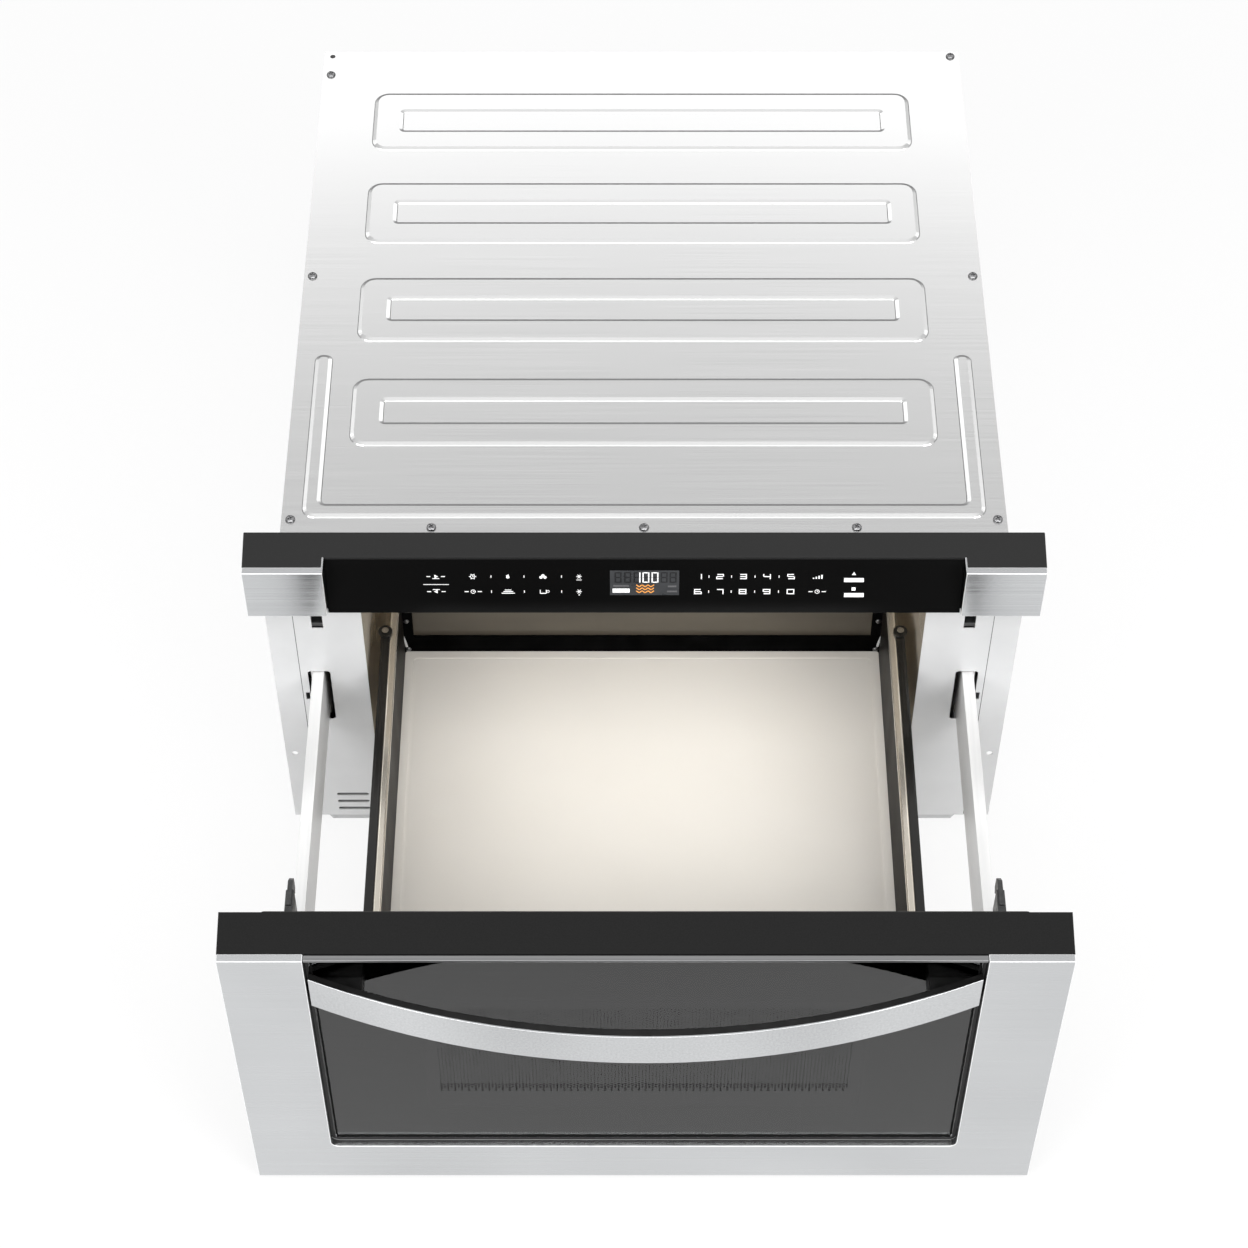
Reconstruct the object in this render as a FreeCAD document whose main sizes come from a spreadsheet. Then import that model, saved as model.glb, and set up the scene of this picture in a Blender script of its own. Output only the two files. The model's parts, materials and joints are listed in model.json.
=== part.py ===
"""Microwave drawer: a built-in cabinet with a drawer that slides out on two side bars.

Millimetres.  +X is to the right, +Y towards the back, +Z up.  The origin is the centre of the
cabinet's underside.  The drawer is drawn pulled out, and its closed place is one travel further back.
"""
import FreeCAD, Part
import Sketcher
import math
import os
import re

DIRECTIONS = {
    "X": FreeCAD.Vector(1, 0, 0),
    "Y": FreeCAD.Vector(0, 1, 0),
    "Z": FreeCAD.Vector(0, 0, 1),
}
SIDES = (("left", -1), ("right", 1))

# ---------------------------------------------------------------- driving dimensions

SIZES = {
    # cabinet
    "cabinet_width": 554,
    "cabinet_depth": 552,
    "cabinet_height": 383.5,
    "sheet": 1,
    "lip_height": 9.7,
    "lip_inset": 3,
    "lip_chamfer": 8,
    "seam_flange": 15,
    "mounting_flange": 20.6,
    "mounting_hole_inset": 7.6,
    "mounting_hole_height": 100,
    "mounting_hole_radius": 2.6,
    # pressed top cover
    "rib_height": 1.6,
    "rib_length": 460,
    "rib_width": 72,
    "rib_corner": 12,
    "rib_first": 126,
    "rib_pitch": 112,
    "field_length": 415,
    "field_width": 28.7,
    "field_corner": 5,
    "channel_outer": 524,
    "channel_width": 14.5,
    "channel_front": 16.5,
    "channel_end": 187.6,
    "channel_corner": 10,
    # screws of the cover
    "screw_head": 4,
    "screw_head_height": 2.2,
    "screw_shank": 1.8,
    "screw_length": 7,
    "screw_clearance": 0.3,
    "screw_edge": 7,
    "screw_front": 15,
    "screw_middle": 276,
    "screw_rear_left": 522,
    "screw_rear_right": 546,
    "screw_span": 162,
    "screw_front_edge": 7,
    # front plate and its openings
    "opening_width": 444,
    "opening_bottom": 92,
    "opening_top": 320,
    "opening_corner": 3,
    "bar_slot_gap": 4,
    "bar_slot_gap_inner": 5,
    "bar_slot_corner": 3,
    "hook_slot_gap": 2,
    "louvre_length": 27,
    "louvre_height": 4,
    "louvre_pitch": 10.4,
    "louvre_first": 19.7,
    "louvre_inset": 16.5,
    "notch_height": 9.5,
    "notch_width": 3.3,
    "notch_bottom": 174.7,
    "notch_inset": 2,
    # oven cavity
    "cavity_depth": 404,
    "lamp_hole": 2,
    "lamp_hole_pitch": 9,
    "lamp_back": 330,
    "lamp_height": 285,
    # control panel
    "front_width": 606,
    "panel_depth": 41,
    "panel_height": 51.2,
    "panel_rise": 3,
    "draft": 1.35,
    "trim_wrap": 6.5,
    "trim_sheet": 1.2,
    "trim_width": 61,
    "glass_recess_top": 16.5,
    "glass_recess_bottom": 3.4,
    "glass_lip": 2,
    "glass_thickness": 4,
    "panel_glass_gap": 0.5,
    "housing_wall": 2.5,
    "housing_hollow": 17,
    "display_width": 52,
    "display_height": 24,
    "display_depth": 8,
    "board_length": 300,
    "board_height": 34,
    "board_thickness": 1.6,
    # door
    "drawer_travel": 298,
    "closing_gap": 0.5,
    "door_depth": 41.5,
    "door_height": 317.7,
    "panel_door_gap": 11,
    "door_rail": 47.7,
    "window_corner": 6,
    "seal_width": 2.5,
    "top_strip_depth": 4.4,
    "top_strip_height": 3,
    "top_strip_set_back": 1.2,
    "shell_wall": 2.5,
    "screen_width": 310,
    "screen_bottom": 112,
    "screen_top": 250,
    "screen_overlap": 8,
    "screen_embossing": 3,
    "plate_depth": 2.7,
    "plate_width": 550,
    "plate_margin": 6,
    # bow handle
    "handle_bow": 47.3,
    "handle_height": 35.3,
    "handle_drop": 24.2,
    "handle_thickness": 1.8,
    "handle_end": 1.5,
    "backing_thickness": 6,
    "bracket_length": 38,
    "handle_gap": 1.8,
    # tray
    "tray_width": 402,
    "tray_depth": 393.5,
    "tray_floor": 120.5,
    "tray_wall_height": 99,
    "tray_wall": 4.4,
    "rim_overhang": 2,
    "rim_height": 4,
    "ceramic_thickness": 6,
    "ceramic_rim": 7,
    "ceramic_sink": 0.8,
    "ceramic_corner": 4,
    "pan_sheet": 1.5,
    "pan_skirt": 5,
    "fit_gap": 0.3,
    "side_rail_width": 6.6,
    "side_rail_height": 60,
    "side_rail_short": 55,
    "rail_disc": 5.7,
    "rail_disc_height": 2,
    "rear_frame_depth": 3,
    "rear_post": 12.5,
    "rear_bottom_rail": 18.5,
    "rear_top_rail": 5.5,
    "rear_panel_lean": 7,
    "rear_screw_head": 2.6,
    "rear_screw_height": 1.8,
    "rear_screw_low": 123.4,
    "rear_screw_high": 161.5,
    # slides and drive
    "bar_width": 9.3,
    "bar_height": 59.5,
    "bar_bottom": 152,
    "bar_inset": 257,
    "bar_wall": 1.5,
    "bar_length": 531,
    "slide_gap": 0.3,
    "guide_wall": 1.5,
    "guide_length": 538,
    "guide_start": 2,
    "roller_radius": 8,
    "roller_width": 9,
    "roller_axle": 3,
    "roller_set_back": 20,
    "roller_space": 40,
    "running_gap": 0.05,
    "hook_inset": 254,
    "hook_width": 6,
    "hook_drop": 47.8,
    "hook_height": 30,
    "hook_length": 40,
    "hook_finger": 14,
    "hook_finger_width": 3.6,
    "hook_shoulder": 28,
    "latch_wall": 4,
    "latch_depth": 50,
    "rack_width": 16,
    "rack_height": 10,
    "rack_pitch_line": 60,
    "gear_module": 1.5,
    "gear_backlash": 0.3,
    "pinion_set_back": 216,
    "pinion_width": 12,
    "pinion_shaft": 3,
    "rack_slot_gap": 1.5,
    "rack_guide_wall": 2,
    "rack_guide_drop": 10,
    # machinery behind the cavity
    "stirrer_set_back": 200,
    "stirrer_cover_width": 220,
    "stirrer_cover_depth": 200,
    "stirrer_cover_height": 20,
    "stirrer_cover_wall": 1.5,
    "stirrer_radius": 80,
    "stirrer_shaft": 3,
    "stirrer_drop": 12,
    "wave_width": 90,
    "wave_height": 43,
    "wave_start": 150,
    "wave_end": 530,
    "port_width": 70,
    "port_depth": 60,
    "magnetron_set_back": 474,
    "magnetron_width": 90,
    "magnetron_depth": 76,
    "magnetron_height": 80,
    "anode_radius": 21,
    "antenna_radius": 7,
    "antenna_height": 26,
    "bulkhead_width": 490,
    "fan_radius": 52,
    "fan_frame": 120,
    "fan_depth": 33,
    "fan_height": 255,
    "fan_hub": 20,
    "fan_shaft": 2,
    "fan_tip_gap": 3,
    "transformer_width": 100,
    "transformer_depth": 66,
    "transformer_height": 84,
    "transformer_side": 150,
    "transformer_set_back": 480,
    "coil_overhang": 18,
    "capacitor_radius": 17,
    "capacitor_length": 30,
    "capacitor_height": 92,
    "motor_radius": 17,
    "motor_length": 42,
    "gland_radius": 11,
    "gland_bore": 4.5,
    "gland_side": 200,
    "gland_height": 60,
    "gland_reach": 3,
    "vent_pitch": 9,
    "vent_width": 4,
    "vent_height": 90,
}

RIBS = 4
LOUVRES = 3
RACK_TEETH = 72
PINION_TEETH = 18
PRESSURE_ANGLE = math.radians(20)
FAN_BLADES = 7
FAN_PITCH = 58
STIRRER_BLADES = 4
MAGNETRON_FINS = 4
VENT_SLOTS = 11
LAMP_HOLES = 3

# ---------------------------------------------------------------- places worked out from the sizes

front = "(-cabinet_depth / 2)"
rear = "(cabinet_depth / 2)"
half_cabinet = "(cabinet_width / 2)"
half_front = "(front_width / 2)"
half_opening = "(opening_width / 2)"
inner_side = "(cabinet_width / 2 - sheet)"
inner_roof = "(cabinet_height - sheet)"
panel_front = f"({front} - panel_depth)"
panel_top = "(cabinet_height + panel_rise)"
panel_bottom = f"({panel_top} - panel_height)"
door_back = f"({front} - closing_gap - drawer_travel)"
shell_back = f"({door_back} - plate_depth)"
door_front = f"({shell_back} - door_depth)"
door_top = f"({panel_bottom} - panel_door_gap)"
door_bottom = f"({door_top} - door_height)"
half_window = f"({half_front} - trim_width)"
window_bottom = f"({door_bottom} + door_rail)"
window_top = f"({door_top} - top_strip_height)"
glass_front = f"({door_front} + trim_wrap)"
glass_back = f"({glass_front} + glass_thickness)"
hook_low = f"({door_top} - hook_drop)"
hook_high = f"({hook_low} + hook_height)"
tray_rear = f"({door_back} + tray_depth)"
tray_top = "(tray_floor + tray_wall_height)"
pan_top = "(tray_floor - ceramic_thickness)"
pan_bottom = f"({pan_top} - pan_sheet - pan_skirt)"
half_tray = "(tray_width / 2)"
liner_back = f"({front} + sheet + cavity_depth)"
liner_top = "(opening_top + sheet)"
bar_top = "(bar_bottom + bar_height)"
pinion_back = f"({front} + pinion_set_back)"
pitch_radius = f"(gear_module * {PINION_TEETH} / 2)"
pinion_height = f"(rack_pitch_line - {pitch_radius})"
rack_root = "(rack_pitch_line + 1.25 * gear_module)"
stirrer_back = f"({front} + stirrer_set_back)"
magnetron_back = f"({front} + magnetron_set_back)"
fan_front = f"({rear} - sheet - fan_depth)"

# ---------------------------------------------------------------- document and helpers

doc = FreeCAD.newDocument("microwave_drawer")
sheet = doc.addObject("Spreadsheet::Sheet", "Sizes")
for row, (alias, size) in enumerate(SIZES.items(), start=1):
    sheet.set(f"A{row}", alias)
    sheet.set(f"B{row}", str(size))
    sheet.setAlias(f"B{row}", alias)
doc.recompute()

sub_parts = {}


def bound(expression):
    """Point each size's word in an expression at its cell of the sheet."""
    def cell(word):
        return "Sizes." + word.group() if word.group() in SIZES else word.group()
    return re.sub(r"[a-z_]+", cell, str(expression))


def number(expression):
    """The present value of an expression."""
    return float(sheet.evalExpression(bound(expression)))


def bind(target, setting, expression):
    target.setExpression(setting, bound(expression))


def sided(sign, low, high):
    """A span across the right half, or its mirror image on the left half."""
    if sign > 0:
        return low, high
    return f"-({high})", f"-({low})"


def publish(node, made):
    """Name a finished sub-part after its node."""
    made.Label = node
    sub_parts[node] = made
    return made


def block(x, y, z):
    """A box between pairs of low and high places."""
    box = doc.addObject("Part::Box", "Block")
    for axis, setting, (low, high) in zip("xyz", ("Length", "Width", "Height"), (x, y, z)):
        bind(box, setting, f"({high}) - ({low})")
        bind(box, f"Placement.Base.{axis}", low)
    return box


def rod(axis, radius, base, length, tip_radius=None):
    """A cylinder, or a cone when it has a tip radius, along an axis from its base point."""
    made = doc.addObject("Part::Cone" if tip_radius else "Part::Cylinder", "Rod")
    turn = FreeCAD.Rotation(DIRECTIONS["Z"], DIRECTIONS[axis])
    made.Placement = FreeCAD.Placement(FreeCAD.Vector(), turn)
    if tip_radius:
        bind(made, "Radius1", radius)
        bind(made, "Radius2", tip_radius)
    else:
        bind(made, "Radius", radius)
    bind(made, "Height", length)
    for direction, place in zip("xyz", base):
        bind(made, f"Placement.Base.{direction}", place)
    return made


def fused(*pieces):
    made = doc.addObject("Part::MultiFuse", "Fuse")
    made.Shapes = list(pieces)
    return made


def without(base, *tools):
    """The base with each tool cut away."""
    made = doc.addObject("Part::Cut", "Cut")
    made.Base = base
    made.Tool = tools[0] if len(tools) == 1 else fused(*tools)
    return made


def group(*pieces):
    """Separate like solids that share one node."""
    made = doc.addObject("Part::Compound", "Group")
    made.Links = list(pieces)
    return made


def rectangle(x, y, corner=None):
    """The corners of a rectangle between pairs of low and high places."""
    corners = [(x[0], y[0]), (x[1], y[0]), (x[1], y[1]), (x[0], y[1])]
    return [place + (corner,) for place in corners] if corner else corners


def circle(x, y, radius):
    return ("circle", x, y, radius)


def octagon(x, y, radius):
    """A hidden repeated hole or shank, eight-sided to keep the facets few."""
    corners = []
    for i in range(8):
        turn = math.radians(45 * i + 22.5)
        corners.append((f"({x}) + ({radius}) * {math.cos(turn):.6f}",
                        f"({y}) + ({radius}) * {math.sin(turn):.6f}"))
    return corners


def segments_of(corners):
    """Turn corners, some with a rounding radius, into lines and arcs that follow each other."""
    places = [FreeCAD.Vector(number(c[0]), number(c[1]), 0) for c in corners]
    count = len(corners)
    segments = []
    for i, corner in enumerate(corners):
        x, y = corner[0], corner[1]
        if len(corner) == 2:
            segments.append(("line", (x, y)))
            continue
        arriving = (places[i] - places[i - 1]).normalize()
        leaving = (places[(i + 1) % count] - places[i]).normalize()
        half_turn = arriving.getAngle(leaving) / 2
        reach = math.tan(half_turn)
        radius = number(corner[2])
        centre = places[i] + (leaving - arriving).normalize() * (radius / math.cos(half_turn))
        middle = centre + (places[i] - centre).normalize() * radius
        begin = tuple(f"({place}) - ({corner[2]}) * {direction * reach:.9f}"
                      for place, direction in ((x, arriving.x), (y, arriving.y)))
        end = tuple(f"({place}) + ({corner[2]}) * {direction * reach:.9f}"
                    for place, direction in ((x, leaving.x), (y, leaving.y)))
        segments.append(("arc", begin, middle, corner[2]))
        segments.append(("line", end))
    return segments


def draw(sketch, outline):
    """Draw one closed outline with every point and radius held by the sizes."""
    geometry, rules, values = [], [], []
    first_index = sketch.GeometryCount

    def hold(kind, value, *where):
        rules.append(Sketcher.Constraint(kind, *where, number(value)))
        values.append((sketch.ConstraintCount + len(rules) - 1, value))

    def hold_point(index, position, place):
        hold("DistanceX", place[0], -1, 1, index, position)
        hold("DistanceY", place[1], -1, 1, index, position)

    if outline[0] == "circle":
        centre = FreeCAD.Vector(number(outline[1]), number(outline[2]), 0)
        geometry.append(Part.Circle(centre, DIRECTIONS["Z"], number(outline[3])))
        hold_point(first_index, 3, outline[1:3])
        hold("Radius", outline[3], first_index)
    else:
        segments = outline if outline[0][0] in ("line", "arc") else segments_of(outline)
        starts = [FreeCAD.Vector(number(s[1][0]), number(s[1][1]), 0) for s in segments]
        chain = []
        for start, end, segment in zip(starts, starts[1:] + starts[:1], segments):
            if start.distanceToPoint(end) < 1e-6:
                continue
            first = 1
            if segment[0] == "line":
                geometry.append(Part.LineSegment(start, end))
            else:
                geometry.append(Part.Arc(start, segment[2], end))
                if (segment[2] - start).cross(end - segment[2]).z < 0:
                    first = 2
            chain.append((first_index + len(geometry) - 1, first, segment))
        for (index, first, segment), (following, entry, _) in zip(chain, chain[1:] + chain[:1]):
            rules.append(Sketcher.Constraint("Coincident", index, 3 - first, following, entry))
            hold_point(index, first, segment[1])
            if segment[0] == "arc":
                hold("Radius", segment[3], index)
    sketch.addGeometry(geometry, False)
    sketch.addConstraint(rules)
    for index, value in values:
        bind(sketch, f"Constraints[{index}]", value)


def sketch_on(body, plane, offset, outlines):
    """A sketch parallel to one of the body's own origin planes."""
    sketch = body.newObject("Sketcher::SketchObject", "Outline")
    planes = [f for f in body.Origin.OriginFeatures if f.Role == plane + "_Plane"]
    sketch.AttachmentSupport = [(planes[0], "")]
    sketch.MapMode = "FlatFace"
    bind(sketch, "AttachmentOffset.Base.z", offset)
    for outline in outlines:
        draw(sketch, outline)
    sketch.Visibility = False
    return sketch


def new_body():
    return doc.addObject("PartDesign::Body", "Body")


def pad(body, plane, span, *outlines):
    """Add the outlines to a body from the low to the high end of the span."""
    low, high = span
    offset = f"-({high})" if plane == "XZ" else low
    made = body.newObject("PartDesign::Pad", "Pad")
    made.Profile = sketch_on(body, plane, offset, outlines)
    bind(made, "Length", f"({high}) - ({low})")
    body.Tip = made
    return made


def pocket(body, plane, span, *outlines):
    """Cut the outlines out of a body from the low to the high end of the span."""
    low, high = span
    offset = f"-({low})" if plane == "XZ" else high
    made = body.newObject("PartDesign::Pocket", "Pocket")
    made.Profile = sketch_on(body, plane, offset, outlines)
    bind(made, "Length", f"({high}) - ({low})")
    body.Tip = made
    return made


def origin_axis(body, axis):
    return [f for f in body.Origin.OriginFeatures if f.Role == axis + "_Axis"][0]


def repeat(body, feature, axis, pitch, count):
    """Repeat a pad or a pocket in equal steps along an axis."""
    made = body.newObject("PartDesign::LinearPattern", "Row")
    made.Originals = [feature]
    made.Direction = (origin_axis(body, axis), [""])
    bind(made, "Length", f"({pitch}) * {count - 1}")
    made.Occurrences = count
    body.Tip = made


def revolve_copies(body, feature, axis, count):
    """Repeat a feature in equal steps round an axis of the body."""
    made = body.newObject("PartDesign::PolarPattern", "Ring")
    made.Originals = [feature]
    made.Axis = (origin_axis(body, axis), [""])
    made.Angle = 360
    made.Occurrences = count
    body.Tip = made


# ---------------------------------------------------------------- cabinet: base, sides, rear

def lip_outline(margin):
    """The base pan's plan, with its front and rear corners cut off."""
    x = f"({half_cabinet} - lip_inset - ({margin}))"
    y = f"({rear} - lip_inset - ({margin}))"
    cut = "lip_chamfer"
    return [
        (f"-{x} + {cut}", f"-{y}"), (f"{x} - {cut}", f"-{y}"),
        (x, f"-{y} + {cut}"), (x, f"{y} - {cut}"),
        (f"{x} - {cut}", y), (f"-{x} + {cut}", y),
        (f"-{x}", f"{y} - {cut}"), (f"-{x}", f"-{y} + {cut}"),
    ]


def base_pan():
    body = new_body()
    pad(body, "XY", ("0", "lip_height"), lip_outline("0"))
    pocket(body, "XY", ("sheet", "lip_height"), lip_outline("sheet"))
    brim = rectangle((f"-{inner_side}", inner_side), (f"{front} + sheet", f"{rear} - sheet"))
    pad(body, "XY", ("lip_height - sheet", "lip_height"), brim, lip_outline("sheet"))
    publish("base_pan", body)


def side_screws(side):
    """Places of the cover screws along one side, measured from the front."""
    return ["screw_front", "screw_middle", f"screw_rear_{side}"]


def side_panel(side, sign):
    """One sheet: the side, a flange in under the cover and the mounting flange out at the front."""
    body = new_body()
    wall = sided(sign, inner_side, half_cabinet)
    z = ("lip_height", inner_roof)
    pad(body, "XY", z, rectangle(wall, (front, f"{rear} - sheet")))
    shelf = sided(sign, f"{inner_side} - seam_flange", inner_side)
    pad(body, "XY", (f"{inner_roof} - sheet", inner_roof),
        rectangle(shelf, (f"{front} + sheet", f"{rear} - sheet")))
    flange = sided(sign, half_cabinet, f"{half_cabinet} + mounting_flange")
    pad(body, "XZ", (front, f"{front} + sheet"),
        rectangle(flange, ("lip_height", f"{panel_bottom} - sheet")))
    x = f"{sign} * ({half_cabinet} - screw_edge)"
    holes = [octagon(x, f"{front} + {place}",
                     "screw_shank + screw_clearance") for place in side_screws(side)]
    pocket(body, "XY", (f"{inner_roof} - sheet", inner_roof), *holes)
    hole_x = f"{sign} * ({half_cabinet} + mounting_flange - mounting_hole_inset)"
    pocket(body, "XZ", (front, f"{front} + sheet"),
           circle(hole_x, "mounting_hole_height", "mounting_hole_radius"))
    publish(f"side_panel_{side}", body)


def rear_panel():
    body = new_body()
    y = (f"{rear} - sheet", rear)
    pad(body, "XZ", y, rectangle((f"-{half_cabinet}", half_cabinet), ("lip_height", inner_roof)))
    first = f"(-vent_pitch * {VENT_SLOTS - 1} / 2)"
    slot = rectangle((f"{first} - vent_width / 2", f"{first} + vent_width / 2"),
                     ("fan_height - vent_height / 2", "fan_height + vent_height / 2"))
    repeat(body, pocket(body, "XZ", y, slot), "X", "vent_pitch", VENT_SLOTS)
    pocket(body, "XZ", y, circle("-gland_side", "gland_height", "gland_radius - 3 + running_gap"))
    publish("rear_panel", body)


# ---------------------------------------------------------------- pressed top cover and its screws

def channel_outline(margin):
    """The shallow channel pressed along the cover's front and part of its sides."""
    outer = f"(channel_outer / 2 - ({margin}))"
    inner = f"(channel_outer / 2 - channel_width + ({margin}))"
    low = f"({front} + channel_front + ({margin}))"
    step = f"({front} + channel_front + channel_width - ({margin}))"
    end = f"({front} + channel_end - ({margin}))"
    tip = f"(channel_width / 2 - ({margin}) - 0.05)"
    return [
        (f"-{outer}", low, "channel_corner"), (outer, low, "channel_corner"),
        (outer, end, tip), (inner, end, tip),
        (inner, step, "channel_corner / 2"), (f"-{inner}", step, "channel_corner / 2"),
        (f"-{inner}", end, tip), (f"-{outer}", end, tip),
    ]


def rib_outline(length, width, corner, margin):
    """One of the long pressed ribs, or the sunk field in it; a hidden hollow has cut corners."""
    middle = f"({front} + rib_first)"
    x = f"({length} / 2 - ({margin}))"
    y = f"({width} / 2 - ({margin}))"
    if margin == "0":
        return rectangle((f"-{x}", x), (f"{middle} - {y}", f"{middle} + {y}"), corner)
    return cut_rectangle((f"-{x}", x), (f"{middle} - {y}", f"{middle} + {y}"), f"({corner} - {margin})")


def cut_rectangle(x, y, cut):
    """The corners of a rectangle with its corners cut off at 45 degrees."""
    return [(f"{x[0]} + {cut}", y[0]), (f"{x[1]} - {cut}", y[0]), (x[1], f"{y[0]} + {cut}"),
            (x[1], f"{y[1]} - {cut}"),
            (f"{x[1]} - {cut}", y[1]), (f"{x[0]} + {cut}", y[1]), (x[0], f"{y[1]} - {cut}"),
            (x[0], f"{y[0]} + {cut}")]


def cover_screw_places():
    places = [(f"{sign} * ({half_cabinet} - screw_edge)", f"{front} + {place}")
              for side, sign in SIDES for place in side_screws(side)]
    places += [(f"{i} * screw_span", f"{front} + screw_front_edge") for i in (-1, 0, 1)]
    return places


def top_cover():
    body = new_body()
    plate = (inner_roof, "cabinet_height")
    crown = "(cabinet_height + rib_height)"
    rib = rib_outline("rib_length", "rib_width", "rib_corner", "0")
    hollow = rib_outline("rib_length", "rib_width", "rib_corner", "sheet")
    island = rib_outline("field_length + 2 * sheet", "field_width + 2 * sheet", "0.5", "0.0")
    field = rib_outline("field_length", "field_width", "field_corner", "0")
    pad(body, "XY", plate, rectangle((f"-{half_cabinet}", half_cabinet), (front, rear)))
    pad(body, "XY", (inner_roof, crown), channel_outline("0"))
    pocket(body, "XY", (inner_roof, f"{crown} - sheet"), channel_outline("sheet"))
    repeat(body, pad(body, "XY", (inner_roof, crown), rib), "Y", "rib_pitch", RIBS)
    repeat(body, pocket(body, "XY", (inner_roof, f"{crown} - sheet"), hollow, island), "Y", "rib_pitch",
           RIBS)
    repeat(body, pocket(body, "XY", ("cabinet_height", crown), field), "Y", "rib_pitch", RIBS)
    for x, y in cover_screw_places():
        pocket(body, "XY", plate, octagon(x, y, "screw_shank + screw_clearance"))
    publish("top_cover", body)


def cover_screws():
    screws = []
    for x, y in cover_screw_places():
        shank = new_body()
        pad(shank, "XY", ("cabinet_height - screw_length", "cabinet_height"), octagon(x, y, "screw_shank"))
        head = rod("Z", "screw_head", (x, y, "cabinet_height"), "screw_head_height", "screw_head * 0.6")
        screws.append(fused(head, shank))
    publish("cover_screws", group(*screws))


# ---------------------------------------------------------------- front plate and cavity

def front_plate():
    body = new_body()
    y = (front, f"{front} + sheet")
    pad(body, "XZ", y, rectangle((f"-{inner_side}", inner_side), ("lip_height", inner_roof)))
    shelf = f"({inner_side} - seam_flange - sheet)"
    pad(body, "XY", (f"{inner_roof} - sheet", inner_roof),
        rectangle((f"-{shelf}", shelf), (front, f"{front} + seam_flange")))
    pocket(body, "XZ", y,
           rectangle((f"-{half_opening}", half_opening), ("opening_bottom", "opening_top"),
                     "opening_corner"))
    for side, sign in SIDES:
        bar = sided(sign, "bar_inset - bar_slot_gap_inner", "bar_inset + bar_width + bar_slot_gap")
        bar_z = ("bar_bottom - bar_slot_gap", f"{bar_top} + slide_gap * 4")
        hook = sided(sign, "hook_inset - hook_slot_gap / 2", "hook_inset + hook_width + hook_slot_gap")
        hook_z = (f"{hook_low} - 4 * hook_slot_gap", f"{hook_high} + 5 * hook_slot_gap")
        notch = sided(sign, f"{inner_side} - notch_inset - notch_width", f"{inner_side} - notch_inset")
        notch_z = ("notch_bottom", "notch_bottom + notch_height")
        pocket(body, "XZ", y, rectangle(bar, bar_z, "bar_slot_corner"), rectangle(hook, hook_z),
               rectangle(notch, notch_z))
    rack = "(rack_width / 2 + rack_slot_gap)"
    rack_z = ("rack_pitch_line - gear_module - rack_slot_gap", f"{rack_root} + rack_height + rack_slot_gap")
    pocket(body, "XZ", y, rectangle((f"-{rack}", rack), rack_z))
    reach = sided(-1, f"{inner_side} - louvre_inset - louvre_length", f"{inner_side} - louvre_inset")
    louvre = rectangle(reach, ("louvre_first - louvre_height / 2", "louvre_first + louvre_height / 2"),
                       "louvre_height / 2 - 0.1")
    repeat(body, pocket(body, "XZ", y, louvre), "Z", "louvre_pitch", LOUVRES)
    screws = [octagon(f"{i} * screw_span", f"{front} + screw_front_edge", "screw_shank + screw_clearance")
              for i in (-1, 0, 1)]
    pocket(body, "XY", (f"{inner_roof} - sheet", inner_roof), *screws)
    publish("front_plate", body)


def cavity_liner():
    """Enamelled oven box, open at the front, with the microwave port and the lamp's holes."""
    body = new_body()
    x = f"({half_opening} + sheet)"
    start = f"{front} + sheet"
    pad(body, "XZ", (start, liner_back),
        rectangle((f"-{x}", x), ("opening_bottom - sheet", liner_top), "opening_corner + sheet"))
    pocket(body, "XZ", (start, f"{liner_back} - sheet"),
           rectangle((f"-{half_opening}", half_opening), ("opening_bottom", "opening_top"),
                     "opening_corner"))
    port = rectangle(("-port_width / 2", "port_width / 2"),
                     (f"{stirrer_back} - port_depth / 2", f"{stirrer_back} + port_depth / 2"))
    pocket(body, "XY", ("opening_top", liner_top), port)
    for i in range(LAMP_HOLES):
        for j in range(LAMP_HOLES):
            y = f"{front} + lamp_back + {i - 1} * lamp_hole_pitch"
            z = f"lamp_height + {j - 1} * lamp_hole_pitch"
            pocket(body, "YZ", (f"-{x}", f"-{half_opening}"), octagon(y, z, "lamp_hole"))
    publish("cavity_liner", body)


def oven_lamp():
    """Lamp box outside the cavity's left wall, with the lamp's bulb inside it."""
    outer = f"({half_opening} + sheet)"
    y = (f"{front} + lamp_back - 16", f"{front} + lamp_back + 16")
    z = ("lamp_height - 16", "lamp_height + 16")
    box = block((f"-{outer} - 22", f"-{outer}"), y, z)
    hollow = block((f"-{outer} - 20.8", f"-{outer}"), (f"{y[0]} + 1.2", f"{y[1]} - 1.2"),
                   (f"{z[0]} + 1.2", f"{z[1]} - 1.2"))
    bulb = rod("X", "7", (f"-{outer} - 21", f"{front} + lamp_back", "lamp_height"), "17")
    publish("oven_lamp", fused(without(box, hollow), bulb))


# ---------------------------------------------------------------- control panel

panel_glass_top = f"({panel_front} + glass_recess_top)"
panel_glass_bottom = f"({panel_front} + glass_recess_bottom)"


def lean_at(height):
    """Depth of the leaning glass's front face at a height."""
    slope = "(glass_recess_bottom - glass_recess_top) / panel_height"
    return f"({panel_glass_top} + {slope} * ({panel_top} - ({height})))"


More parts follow.
